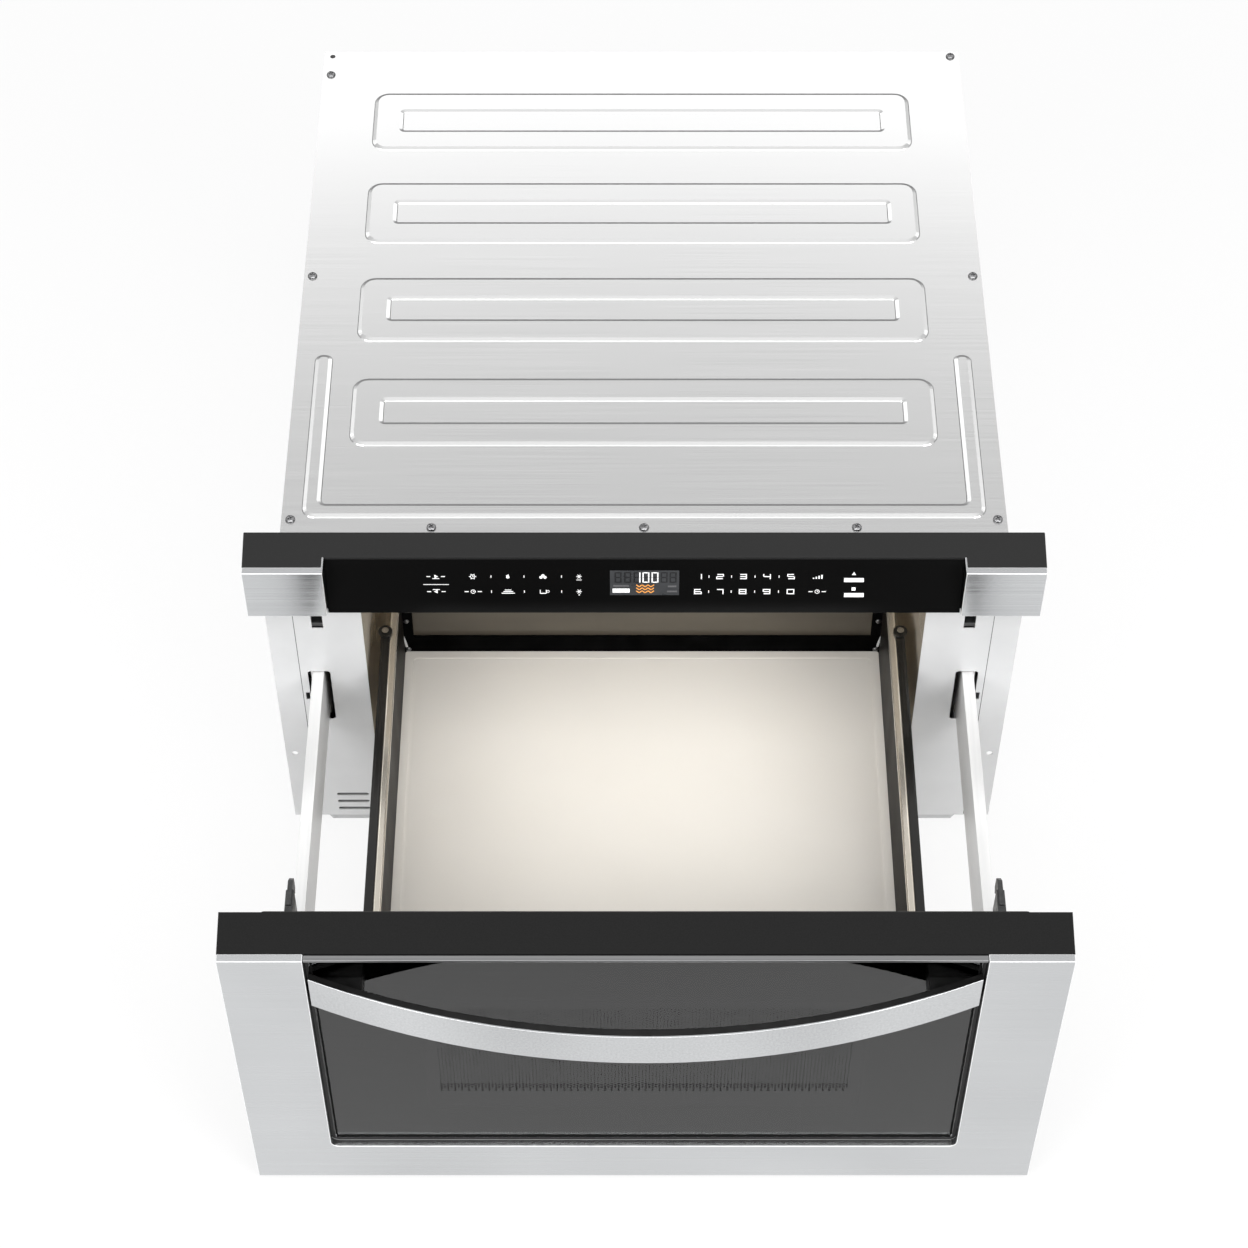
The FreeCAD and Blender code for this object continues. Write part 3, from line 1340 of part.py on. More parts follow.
def bulkhead():
    """Upright behind the oven that ties the cavity to the base and parts off the machinery."""
    body = new_body()
    y = (liner_back, f"{liner_back} + sheet")
    x = "(bulkhead_width / 2)"
    pad(body, "XZ", y, rectangle((f"-{x}", x), ("sheet", liner_top)))
    pad(body, "XY", ("sheet", "2 * sheet"),
        rectangle((f"-{x}", x), (liner_back, f"{liner_back} + seam_flange")))
    rack = "(rack_width / 2 + rack_guide_wall + rack_slot_gap)"
    pocket(body, "XZ", y, rectangle((f"-{rack}", rack), ("rack_pitch_line - gear_module - rack_slot_gap",
                                                         f"{rack_root} + rack_height + 2 * rack_slot_gap")))
    publish("bulkhead", body)


def transformer():
    """Laminated core with two windows, and the windings round its middle limb."""
    x0 = "-transformer_side"
    back = f"({front} + transformer_set_back)"
    limb = "(transformer_width / 6)"
    y = (f"{back} - transformer_depth / 2", f"{back} + transformer_depth / 2")
    floor = "(2 * sheet)"
    body = new_body()
    z = (f"{floor}", f"{floor} + transformer_height")
    window_z = (f"{z[0]} + {limb}", f"{z[1]} - {limb}")
    outline = rectangle((f"{x0} - transformer_width / 2", f"{x0} + transformer_width / 2"), z)
    windows = [rectangle((f"{x0} - 2 * {limb}", f"{x0} - {limb}"), window_z),
               rectangle((f"{x0} + {limb}", f"{x0} + 2 * {limb}"), window_z)]
    pad(body, "XZ", y, outline)
    pocket(body, "XZ", y, *windows)
    pad(body, "XY", ("sheet", floor),
        rectangle((f"{x0} - transformer_width / 2 - 12", f"{x0} + transformer_width / 2 + 12"), y))
    publish("transformer_core", body)
    coils = new_body()
    pad(coils, "XY", window_z,
        rectangle((f"{x0} - 2 * {limb}", f"{x0} + 2 * {limb}"),
                  (f"{y[0]} - coil_overhang", f"{y[1]} + coil_overhang"), "8"),
        rectangle((f"{x0} - {limb}", f"{x0} + {limb}"), y))
    publish("transformer_windings", coils)


def capacitor():
    """Oval high-voltage capacitor that stands on the base, with its two blade terminals."""
    body = new_body()
    x, y = "(transformer_side - 10)", f"({front} + transformer_set_back)"
    radius = "capacitor_radius"
    half = "(capacitor_radius + capacitor_length / 2)"
    outline = rectangle((f"{x} - {half}", f"{x} + {half}"), (f"{y} - {radius}", f"{y} + {radius}"),
                        f"{radius} - 0.1")
    pad(body, "XY", ("sheet", "sheet + capacitor_height"), outline)
    blades = [rectangle((f"{x} + {shift} - 3", f"{x} + {shift} + 3"),
                        (f"{y} - 0.5", f"{y} + 0.5")) for shift in (-12, 12)]
    pad(body, "XY", ("sheet + capacitor_height", "sheet + capacitor_height + 10"), *blades)
    publish("capacitor", body)


def cooling_fan():
    """Axial fan on the rear panel: square frame, motor on three struts, and the impeller."""
    half = "(fan_frame / 2)"
    bore = "(fan_radius + fan_tip_gap)"
    motor_front = f"({fan_front} + fan_depth * 0.5)"
    frame = new_body()
    pad(frame, "XZ", (fan_front, f"{rear} - sheet"),
        rectangle((f"-{half}", half), (f"fan_height - {half}", f"fan_height + {half}"), "6"),
        circle("0", "fan_height", bore))
    strut = (f"{rear} - sheet - 4", f"{rear} - sheet")
    pad(frame, "XZ", strut, rectangle((f"-{bore} - 1", f"{bore} + 1"),
                                      ("fan_height - 3", "fan_height + 3")))
    pad(frame, "XZ", strut, rectangle(("-3", "3"),
                                      (f"fan_height - {bore} - 1", f"fan_height + {bore} + 1")))
    publish("fan_frame", frame)
    can = rod("Y", "fan_hub - 1", ("0", motor_front, "fan_height"), f"{strut[0]} - ({motor_front})")
    shaft = rod("Y", "fan_shaft", ("0", f"{fan_front} + 3", "fan_height"),
                f"({motor_front}) - ({fan_front}) - 2")
    publish("fan_motor", fused(can, shaft))
    hub = new_body()
    hub_span = (f"{fan_front} + 2", f"{motor_front} - 1")
    pad(hub, "XZ", hub_span, circle("0", "0", "fan_hub"))
    middle = f"(({hub_span[0]} + {hub_span[1]}) / 2)"
    blade = hub.newObject("PartDesign::AdditiveLoft", "Blade")
    blade.Profile = sketch_on(hub, "YZ", "fan_hub * 0.7", [blade_outline(middle, 8)])
    blade.Sections = [sketch_on(hub, "YZ", "fan_radius", [blade_outline(middle, 15)])]
    blade.Ruled = True
    hub.Tip = blade
    revolve_copies(hub, blade, "Y", FAN_BLADES)
    pocket(hub, "XZ", hub_span, circle("0", "0", "fan_shaft + running_gap"))
    bind(hub, "Placement.Base.z", "fan_height")
    publish("fan_impeller", hub)


def blade_outline(middle, half_chord):
    """Cross-section of a fan blade: a thin plate turned by its pitch about the blade's axis."""
    turn = math.radians(FAN_PITCH)
    along = FreeCAD.Vector(math.cos(turn), math.sin(turn), 0)
    across = FreeCAD.Vector(-math.sin(turn), math.cos(turn), 0) * 0.8
    corners = [along * -half_chord - across, along * half_chord - across,
               along * half_chord + across, along * -half_chord + across]
    return [(f"{middle} + {corner.x:.6f}", f"{corner.y:.6f}") for corner in corners]


def power_gland():
    """Ring that clamps the supply cord where it enters the rear panel."""
    y = f"({rear} - sheet - 8)"
    place = ("-gland_side", y, "gland_height")
    stem = rod("Y", "gland_radius - 3", place, "8 + sheet")
    collar = rod("Y", "gland_radius", ("-gland_side", rear, "gland_height"), "gland_reach")
    nut = rod("Y", "gland_radius", place, "5")
    hole = rod("Y", "gland_bore", ("-gland_side", f"{y} - 1", "gland_height"), "gland_reach + sheet + 12")
    publish("power_gland", without(fused(stem, collar, nut), hole))


# ---------------------------------------------------------------- build, test and write

def build():
    base_pan()
    rear_panel()
    top_cover()
    cover_screws()
    front_plate()
    cavity_liner()
    oven_lamp()
    control_housing()
    control_glass()
    display_and_board()
    door_shell()
    door_frame()
    door_top_trim()
    glass_and_seal()
    perforated_screen()
    door_inner_plate()
    handle_bar()
    handle_backing()
    ceramic_floor()
    tray_pan()
    rear_wall()
    door_hooks()
    latch_switches()
    drive_rack()
    drive_pinion()
    rack_guide()
    motor_and_bracket()
    stirrer_parts()
    waveguide()
    magnetron()
    bulkhead()
    transformer()
    capacitor()
    cooling_fan()
    power_gland()
    for side, sign in SIDES:
        side_panel(side, sign)
        panel_trim(side, sign)
        tray_side(side, sign)
        side_rail(side, sign)
        slide_bar(side, sign)
        slide_guide(side, sign)


def test():
    """Stop if a feature failed, a pocket cut nothing or a sub-part has no sound solid."""
    for made in doc.Objects:
        if "Invalid" in made.State or "Error" in made.State:
            raise RuntimeError(f"{made.Name} of {made.TypeId} failed: {made.State}")
        if made.TypeId == "PartDesign::Pocket":
            removed = made.BaseFeature.Shape.Volume - made.Shape.Volume
            if removed < 0.01:
                raise RuntimeError(f"{made.Name} cuts nothing")
    for node, made in sub_parts.items():
        if made.Shape.isNull() or not made.Shape.isValid() or not made.Shape.Solids:
            raise RuntimeError(f"{node} has no sound solid")


def write():
    os.makedirs("parts", exist_ok=True)
    for node, made in sub_parts.items():
        made.Shape.exportStep(f"parts/{node}.step")
        box = made.Shape.BoundBox
        print(f"{node:22s} {len(made.Shape.Solids)} solid  "
              f"{box.XLength:6.1f} x {box.YLength:6.1f} x {box.ZLength:6.1f}  {made.Shape.Volume / 1000:9.2f} cm3")
    print(len(sub_parts), "sub-parts")


build()
doc.recompute()
test()
write()
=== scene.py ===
"""Microwave drawer: the finishes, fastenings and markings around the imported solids.

Metres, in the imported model's own frame: +X to the right, +Y towards the back, +Z up.
"""
import bpy
import bmesh
import json
import math
from mathutils import Matrix, Vector

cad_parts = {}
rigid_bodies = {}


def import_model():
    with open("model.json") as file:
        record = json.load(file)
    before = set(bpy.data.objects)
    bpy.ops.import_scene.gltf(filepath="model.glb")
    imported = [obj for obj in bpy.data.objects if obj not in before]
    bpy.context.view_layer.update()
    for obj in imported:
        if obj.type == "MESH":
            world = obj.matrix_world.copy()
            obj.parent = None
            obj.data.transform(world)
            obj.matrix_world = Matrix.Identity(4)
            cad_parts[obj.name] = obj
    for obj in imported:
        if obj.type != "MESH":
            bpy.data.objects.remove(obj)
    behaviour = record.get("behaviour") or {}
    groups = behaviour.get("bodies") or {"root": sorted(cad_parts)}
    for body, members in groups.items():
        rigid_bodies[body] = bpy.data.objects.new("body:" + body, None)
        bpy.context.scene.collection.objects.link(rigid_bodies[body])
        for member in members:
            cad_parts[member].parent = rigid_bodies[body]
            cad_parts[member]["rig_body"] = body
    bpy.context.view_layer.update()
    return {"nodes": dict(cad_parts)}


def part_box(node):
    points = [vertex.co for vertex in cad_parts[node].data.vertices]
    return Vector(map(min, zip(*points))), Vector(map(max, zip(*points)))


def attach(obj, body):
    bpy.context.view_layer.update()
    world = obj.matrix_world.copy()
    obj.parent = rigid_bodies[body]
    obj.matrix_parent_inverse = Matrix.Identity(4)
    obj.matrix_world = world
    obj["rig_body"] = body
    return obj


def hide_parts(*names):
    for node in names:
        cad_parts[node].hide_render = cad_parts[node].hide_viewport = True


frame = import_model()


# ---------------------------------------------------------------- cabinet shell
# The base pan, the two side panels with their mounting flanges, the rear panel and the front plate
# are folded from zinc-coated steel sheet about a millimetre thick and spot-welded at their seams.

MM = 0.001


def grey(level):
    """A shade without colour."""
    return (level, level, level)


def finish(name, dark, light, grain, rough, metallic=0.0, relief=0.0, gloss=0.5, coat=0.0, cloud=0.0):
    """A surface that varies between two shades along a grain, with its own sheen and relief.
    The grain is how fine it is, on each axis or on all three. Rough is the roughness of each
    shade, and the relief is in millimetres. A cloud is a slow unevenness over a hand's breadth,
    as polished or painted sheet has."""
    material = bpy.data.materials.new(name)
    material.use_nodes = True
    nodes = material.node_tree.nodes
    links = material.node_tree.links
    shader = nodes["Principled BSDF"]
    shader.inputs["Metallic"].default_value = metallic
    shader.inputs["Specular IOR Level"].default_value = gloss
    shader.inputs["Coat Weight"].default_value = coat
    shader.inputs["Coat Roughness"].default_value = 0.06
    place = nodes.new("ShaderNodeTexCoord")
    stretch = nodes.new("ShaderNodeMapping")
    stretch.inputs["Scale"].default_value = grain if isinstance(grain, tuple) else (grain, grain, grain)
    links.new(place.outputs["Object"], stretch.inputs["Vector"])
    pattern = nodes.new("ShaderNodeTexNoise")
    pattern.inputs["Scale"].default_value = 1.0
    pattern.inputs["Detail"].default_value = 3.0
    links.new(stretch.outputs["Vector"], pattern.inputs["Vector"])
    spread = nodes.new("ShaderNodeMapRange")
    spread.inputs["From Min"].default_value = 0.3
    spread.inputs["From Max"].default_value = 0.7
    links.new(pattern.outputs["Fac"], spread.inputs["Value"])
    shades = nodes.new("ShaderNodeMix")
    shades.data_type = "RGBA"
    shades.inputs["A"].default_value = (*dark, 1)
    shades.inputs["B"].default_value = (*light, 1)
    links.new(spread.outputs["Result"], shades.inputs["Factor"])
    drift = nodes.new("ShaderNodeTexNoise")
    drift.inputs["Scale"].default_value = 7.0
    drift.inputs["Detail"].default_value = 1.0
    links.new(place.outputs["Object"], drift.inputs["Vector"])
    depth = nodes.new("ShaderNodeMapRange")
    depth.inputs["From Min"].default_value = 0.3
    depth.inputs["From Max"].default_value = 0.7
    depth.inputs["To Min"].default_value = 1.0 - cloud
    links.new(drift.outputs["Fac"], depth.inputs["Value"])
    clouded = nodes.new("ShaderNodeMix")
    clouded.data_type = "RGBA"
    clouded.blend_type = "MULTIPLY"
    clouded.inputs["Factor"].default_value = 1.0
    links.new(shades.outputs["Result"], clouded.inputs["A"])
    links.new(depth.outputs["Result"], clouded.inputs["B"])
    links.new(clouded.outputs["Result"], shader.inputs["Base Color"])
    sheen = nodes.new("ShaderNodeMapRange")
    sheen.inputs["To Min"].default_value = rough[0]
    sheen.inputs["To Max"].default_value = rough[1]
    links.new(spread.outputs["Result"], sheen.inputs["Value"])
    links.new(sheen.outputs["Result"], shader.inputs["Roughness"])
    if relief:
        dents = nodes.new("ShaderNodeBump")
        dents.inputs["Distance"].default_value = relief * MM
        links.new(pattern.outputs["Fac"], dents.inputs["Height"])
        links.new(dents.outputs["Normal"], shader.inputs["Normal"])
    return material


def dressed(node, material):
    """Give a solid that keeps its shape its real finish."""
    solid = frame["nodes"][node]
    solid.data.materials.clear()
    solid.data.materials.append(material)


def eased(node, material, edge, segments=2, painted_highlight=None):
    """The same piece with its edges rounded as folding, moulding or polishing leaves them.
    A painted highlight is a brighter metal laid along the rounded edges, standing in for their glint."""
    solid = frame["nodes"][node]
    shape = bmesh.new()
    shape.from_mesh(solid.data)
    bmesh.ops.remove_doubles(shape, verts=shape.verts, dist=1e-6)
    bmesh.ops.join_triangles(
        shape, faces=shape.faces, angle_face_threshold=math.radians(0.5), angle_shape_threshold=math.pi)
    mesh = bpy.data.meshes.new(node)
    shape.to_mesh(mesh)
    shape.free()
    mesh.shade_smooth()
    mesh.set_sharp_from_angle(angle=math.radians(35))
    mesh.materials.append(material)
    piece = bpy.data.objects.new("eased_" + node, mesh)
    bpy.context.scene.collection.objects.link(piece)
    rounding = piece.modifiers.new("rounding", "BEVEL")
    rounding.width = edge * MM
    rounding.segments = segments
    rounding.limit_method = "ANGLE"
    rounding.angle_limit = math.radians(35)
    rounding.use_clamp_overlap = True
    rounding.harden_normals = True
    if painted_highlight:
        mesh.materials.append(painted_highlight)
        rounding.material = 1
    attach(piece, solid["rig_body"])
    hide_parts(node)
    return piece


def made(name, shape, material, body, smooth=False):
    """Close off a modelled shape as a finished piece that rides on its body."""
    mesh = bpy.data.meshes.new(name)
    shape.to_mesh(mesh)
    shape.free()
    if smooth:
        mesh.shade_smooth()
        mesh.set_sharp_from_angle(angle=math.radians(40))
    mesh.materials.append(material)
    piece = bpy.data.objects.new(name, mesh)
    bpy.context.scene.collection.objects.link(piece)
    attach(piece, body)
    return piece


zinc = finish(
    "zinc coated sheet", (0.68, 0.685, 0.69), (0.72, 0.725, 0.73), 25, (0.36, 0.44),
    metallic=0.1, relief=0.004)
for node in ("side_panel_left", "side_panel_right", "front_plate", "rear_panel"):
    eased(node, zinc, 0.25)
# The base pan is the same zinc sheet, coloured darker as painted shade under the front plate's overhang.
shaded_base_zinc = finish("base pan sheet with painted shade", (0.50, 0.505, 0.51), (0.58, 0.585, 0.59), 25, (0.36, 0.44), metallic=0.2)
eased("base_pan", shaded_base_zinc, 0.25)


def strip(shape, place, size, turn, axis):
    """A short strip of sheet: its middle and its size in millimetres, turned by so many degrees."""
    place = Matrix.Translation([at * MM for at in place]) @ Matrix.Rotation(math.radians(turn), 4, axis)
    bmesh.ops.create_cube(shape, size=1, matrix=place @ Matrix.Diagonal((*[side * MM for side in size], 1)))


# Each louvre is lanced out of the plate and bent inwards, so its slot is closed by a sloping blade.
LOUVRE_LEVELS = (19.4, 29.8, 40.2)
BLADE_TURN = -38
blades = bmesh.new()
for level in LOUVRE_LEVELS:
    strip(blades, (-246, -271.4, level), (28, 0.8, 7.2), BLADE_TURN, "X")
# The blades are coloured dark grey, far darker than the plate they are cut from: painted shade inside the
# slots.
painted_louvre_shade = finish(
    "painted shade inside a louvre", (0.16, 0.16, 0.165), (0.22, 0.22, 0.225), 25, (0.45, 0.55), metallic=0.1)
made("louvre_blades", blades, painted_louvre_shade, "cabinet")


def upright(x, y, z):
    """The place, in millimetres, of a flat shape that is stood up to face the front."""
    return Matrix.Translation((x * MM, y * MM, z * MM)) @ Matrix.Rotation(math.radians(90), 4, "X")


def patch(shape, place, wide, tall):
    """A flat rectangle of so many millimetres."""
    bmesh.ops.create_grid(
        shape, x_segments=1, y_segments=1, size=0.5,
        matrix=place @ Matrix.Diagonal((wide * MM, tall * MM, 1, 1)))


def thickened(shape, depth):
    """Give flat shapes their thickness in millimetres, with every face turned outwards."""
    bmesh.ops.solidify(shape, geom=shape.faces[:], thickness=depth * MM)
    bmesh.ops.recalc_face_normals(shape, faces=shape.faces)


# The plate meets the side flanges in a fine open joint. A thin dark film on the plate stands for the shade in
# the joint: painted shade.
SEAM_INSET = 276.2
FILM = 0.04
seams = bmesh.new()
for x in (-SEAM_INSET, SEAM_INSET):
    patch(seams, upright(x, -276.02, 196), 0.5, 370)
thickened(seams, FILM)
painted_gap_shade = finish("painted shade of joint and hole", grey(0.07), grey(0.10), 25, (0.6, 0.7), gloss=0.1)
made("panel_seams", seams, painted_gap_shade, "cabinet")


# ---------------------------------------------------------------- oven cavity
# A welded steel box, sprayed inside and out with a beige enamel that is fired to a hard gloss.
# Its lamp looks in through three small holes in the left wall.

enamel = finish(
    "beige enamel", (0.76, 0.69, 0.58), (0.82, 0.75, 0.64), 12, (0.10, 0.18), relief=0.015, coat=0.5)
eased("cavity_liner", enamel, 0.3)
lamp_glass = finish("lamp housing", (0.45, 0.43, 0.38), (0.6, 0.58, 0.52), 90, (0.3, 0.4), metallic=0.3)
dressed("oven_lamp", lamp_glass)


# ---------------------------------------------------------------- microwave source
# The magnetron's cooling fins are pressed aluminium round a copper anode. It feeds a folded steel
# waveguide, and a slow aluminium stirrer under a plastic cover spreads the field over the tray.

aluminium = finish(
    "pressed aluminium", (0.55, 0.56, 0.57), (0.72, 0.73, 0.74), (20, 500, 20), (0.28, 0.42),
    metallic=1.0, relief=0.01)
guide_steel = finish(
    "waveguide steel", (0.42, 0.43, 0.44), (0.56, 0.57, 0.58), 45, (0.35, 0.5), metallic=0.9, relief=0.01)
stirrer_plastic = finish(
    "stirrer cover plastic", (0.58, 0.55, 0.48), (0.66, 0.63, 0.56), 200, (0.4, 0.55), relief=0.02)
motor_shell = finish(
    "plated motor shell", (0.45, 0.45, 0.44), (0.62, 0.61, 0.58), 80, (0.25, 0.4), metallic=0.9)
dressed("magnetron", aluminium)
dressed("waveguide", guide_steel)
dressed("stirrer_cover", stirrer_plastic)
dressed("stirrer_fan", aluminium)
dressed("stirrer_motor", motor_shell)


# ---------------------------------------------------------------- power and cooling
# The transformer is a stack of welded iron sheets with two enamelled copper coils. Beside it stand
# the oil-filled capacitor and the fan, on a galvanised bulkhead behind the cavity.

laminations = finish(
    "iron laminations", (0.07, 0.068, 0.065), (0.17, 0.165, 0.16), (2, 2000, 2), (0.45, 0.6),
    metallic=0.8, relief=0.03)
windings = finish(
    "enamelled copper wire", (0.42, 0.17, 0.07), (0.72, 0.34, 0.14), (3, 3, 1400), (0.25, 0.4),
    metallic=0.8, relief=0.04)
can = finish("capacitor can", grey(0.5), grey(0.66), (300, 8, 8), (0.25, 0.4), metallic=0.9)
fan_plastic = finish(
    "fan plastic", (0.02, 0.021, 0.022), (0.035, 0.036, 0.038), 500, (0.4, 0.55), relief=0.03)
dressed("transformer_core", laminations)
dressed("transformer_windings", windings)
dressed("capacitor", can)
dressed("bulkhead", zinc)
dressed("fan_frame", fan_plastic)
dressed("fan_impeller", fan_plastic)
dressed("fan_motor", motor_shell)
dressed("power_gland", fan_plastic)


# ---------------------------------------------------------------- drawer drive
# A geared motor turns a moulded nylon pinion under the cavity, which runs along a nylon rack below
# the tray pan. A folded steel channel keeps the rack on its line.

nylon = finish("natural nylon", (0.66, 0.65, 0.60), (0.76, 0.75, 0.70), 150, (0.35, 0.5), relief=0.01)
dressed("drawer_motor", motor_shell)
dressed("motor_bracket", zinc)
dressed("rack_guide", zinc)
eased("drive_rack", nylon, 0.12)
dressed("drive_pinion", nylon)


# ---------------------------------------------------------------- slides
# Each side bar is rolled from bright steel and runs inside a fixed steel guide, on a nylon roller
# near the front plate. Black moulded hooks on the door catch the switches of the door lock.

bar_steel = finish(
    "rolled slide steel", (0.76, 0.76, 0.755), (0.83, 0.83, 0.825), (250, 6, 250), (0.28, 0.38), metallic=0.3)
hook_nylon = finish(
    "black nylon", (0.018, 0.019, 0.019), (0.035, 0.036, 0.036), 300, (0.3, 0.45), relief=0.02)
for side in ("left", "right"):
    eased("slide_bar_" + side, bar_steel, 0.3)
    eased("slide_guide_" + side, bar_steel, 0.2)
    dressed("guide_roller_" + side, nylon)
eased("door_hooks", hook_nylon, 0.5)
dressed("latch_switches", hook_nylon)


# ---------------------------------------------------------------- tray
# A shallow cream ceramic floor lies in a folded steel pan. The walls are dark painted sheet with a cream
# rolled rim; below the rim, on all but their outer faces, they are nearly black, partly that paint and partly
# painted shade under the rim. A black rail with a rounded end is riveted outside each wall, and the upper
# faces of that end are bronze as a painted reflection of the oven.

ceramic = finish(
    "cream ceramic", (0.655, 0.625, 0.575), (0.695, 0.665, 0.615), 5, (0.16, 0.24), relief=0.004, coat=0.25)
eased("ceramic_floor", ceramic, 1.0, 3)
dressed("tray_pan", enamel)
rim_cream = finish(
    "cream rolled rim", (0.60, 0.55, 0.47), (0.68, 0.63, 0.55), (30, 8, 30), (0.14, 0.22),
    metallic=0.75, relief=0.004)
wall_paint_and_shade = finish(
    "dark tray wall with painted shade", (0.004, 0.0035, 0.003), (0.014, 0.012, 0.009), (1, 22, 1), (0.4, 0.5), gloss=0.06)
rail_black = finish(
    "black rail", (0.008, 0.008, 0.007), (0.014, 0.013, 0.012), (40, 8, 40), (0.14, 0.22),
    gloss=0.3, coat=0.2)
rail_end_reflection = finish(
    "painted reflection on rail end", (0.30, 0.275, 0.235), (0.42, 0.39, 0.34), 60, (0.2, 0.3), metallic=0.8)
UNDER_RIM = 215.7 * MM
RAIL_END = 221.5 * MM
for side, sign in (("left", -1), ("right", 1)):
    wall = eased("tray_side_" + side, rim_cream, 0.5, 3)
    # Below the rim every face but the outer one takes the nearly black colour: dark paint and painted shade
    # under the rim.
    wall.data.materials.append(wall_paint_and_shade)
    for face in wall.data.polygons:
        if face.center.z < UNDER_RIM and face.normal.x * sign < 0.5:
            face.material_index = 1
    rail = eased("side_rail_" + side, rail_black, 0.6, 3)
    # The upper faces of the rounded end take bright bronze metal: a painted reflection of the oven on the
    # black rail.
    rail.data.materials.append(rail_end_reflection)
    for face in rail.data.polygons:
        if face.center.z > RAIL_END and face.normal.z > 0.3:
            face.material_index = 1

frame_black = finish("black painted frame", grey(0.002), grey(0.004), 50, (0.45, 0.6), gloss=0.0)
# The rear panel's dark brown is partly painted shade: beige sheet in the shadow under the control panel.
rear_brown_and_shade = finish(
    "satin brown panel with painted shade", (0.072, 0.061, 0.046), (0.100, 0.086, 0.064), (6, 6, 30), (0.28, 0.42), relief=0.01)
eased("rear_wall_frame", frame_black, 0.3)
eased("rear_wall_panel", rear_brown_and_shade, 0.4)

# A bright spring clip of three leaves holds each tray wall to the rear frame.
CLIP_LEAVES = ((203.2, 147, 7, 10), (201.4, 139, 11, 12), (199.8, 130.5, 7, 8))
clips = bmesh.new()
for sign in (-1, 1):
    for x, z, tall, turn in CLIP_LEAVES:
        strip(clips, (sign * x, -184.4, z), (1.9, 1.2, tall), sign * turn, "Y")
bmesh.ops.bevel(
    clips, geom=clips.edges[:], offset=0.3 * MM, segments=2, profile=0.5, affect="EDGES", material=-1)
made("spring_clips", clips, bar_steel, "drawer")


# ---------------------------------------------------------------- door
# The door is a moulded charcoal shell with a stainless frame folded over its face. The dark glass
# is bonded into the frame over a black perforated steel screen and an inner plate.

charcoal = finish("charcoal moulding", grey(0.011), grey(0.015), 900, (0.5, 0.6), relief=0.01, gloss=0.08)
stainless = finish(
    "satin stainless", (0.59, 0.60, 0.61), (0.63, 0.64, 0.65), (3, 3, 1500), (0.22, 0.28),
    metallic=1.0, cloud=0.10)
plate_paint = finish(
    "dark painted plate", (0.020, 0.019, 0.018), (0.032, 0.031, 0.029), 60, (0.4, 0.5),
    relief=0.01, gloss=0.3)
# This brighter metal on rounded edges is a painted highlight.
painted_edge_highlight = finish("painted edge highlight", (0.90, 0.905, 0.91), (0.95, 0.955, 0.96), 60, (0.3, 0.4), metallic=0.6)
trim_steel = finish(
    "dull trim strip", (0.23, 0.232, 0.235), (0.29, 0.292, 0.295), (3, 900, 900), (0.3, 0.4), metallic=1.0)
seal = finish("black seal", grey(0.008), grey(0.014), 300, (0.5, 0.65), relief=0.01, gloss=0.3)
eased("door_shell", charcoal, 0.6, 3)
eased("door_inner_plate", plate_paint, 0.3)
# The frame's rounded edges carry a painted highlight.
eased("door_frame", stainless, 0.9, 3, painted_edge_highlight)
eased("door_top_trim", trim_steel, 0.4)
dressed("glass_seal", seal)

# The window is tinted toughened glass, polished on both faces.
window = finish("tinted window glass", (0.62, 0.63, 0.64), (0.66, 0.67, 0.68), 4, (0.0, 0.02), gloss=0.6)
window.node_tree.nodes["Principled BSDF"].inputs["Transmission Weight"].default_value = 1.0
window.node_tree.nodes["Principled BSDF"].inputs["IOR"].default_value = 1.5
dressed("door_glass", window)

# The screen behind it is black, and so is the coat on the back of the glass over the screen's opening.
GLASS_BACK = -608.22
screen = finish("screen sheet", grey(0.004), grey(0.006), 300, (0.6, 0.7), gloss=0.02)
dressed("perforated_screen", screen)
coat = bmesh.new()
patch(coat, upright(0, GLASS_BACK, 181), 328, 156)
thickened(coat, FILM)
made("glass_coat", coat, screen, "drawer")

# A black band round the glass and the staggered rows of dots are fired on in one print.
GLASS_FRONT = -612.23
DOT_STEP = 5.14
ROW_STEP = 3.2
FIRST_DOT = -153
BETWEEN_DOTS = -150.43
DOTS_ACROSS = 60
DOT_ROWS = 34
glass_ink = finish("fired black print", grey(0.006), grey(0.010), 300, (0.7, 0.8), gloss=0.02)
field_ink = finish("fired grey print", grey(0.022), grey(0.040), 300, (0.7, 0.8), gloss=0.02)


def dots(shape, places, radius):
    """Small flat dots of print on the front of the glass, at (x, z) places in millimetres."""
    for x, z in places:
        bmesh.ops.create_circle(
            shape, cap_ends=True, segments=6, radius=radius * MM, matrix=upright(x, GLASS_FRONT, z))


def repeated(piece, count, step):
    """The same print again and again at an even step."""
    again = piece.modifiers.new("repeat", "ARRAY")
    again.count = count
    again.use_relative_offset = False
    again.use_constant_offset = True
    again.constant_offset_displace = step


def fired(name, shape, material):
    """Give the print its thickness on the glass."""
    thickened(shape, FILM)
    return made(name, shape, material, "drawer")


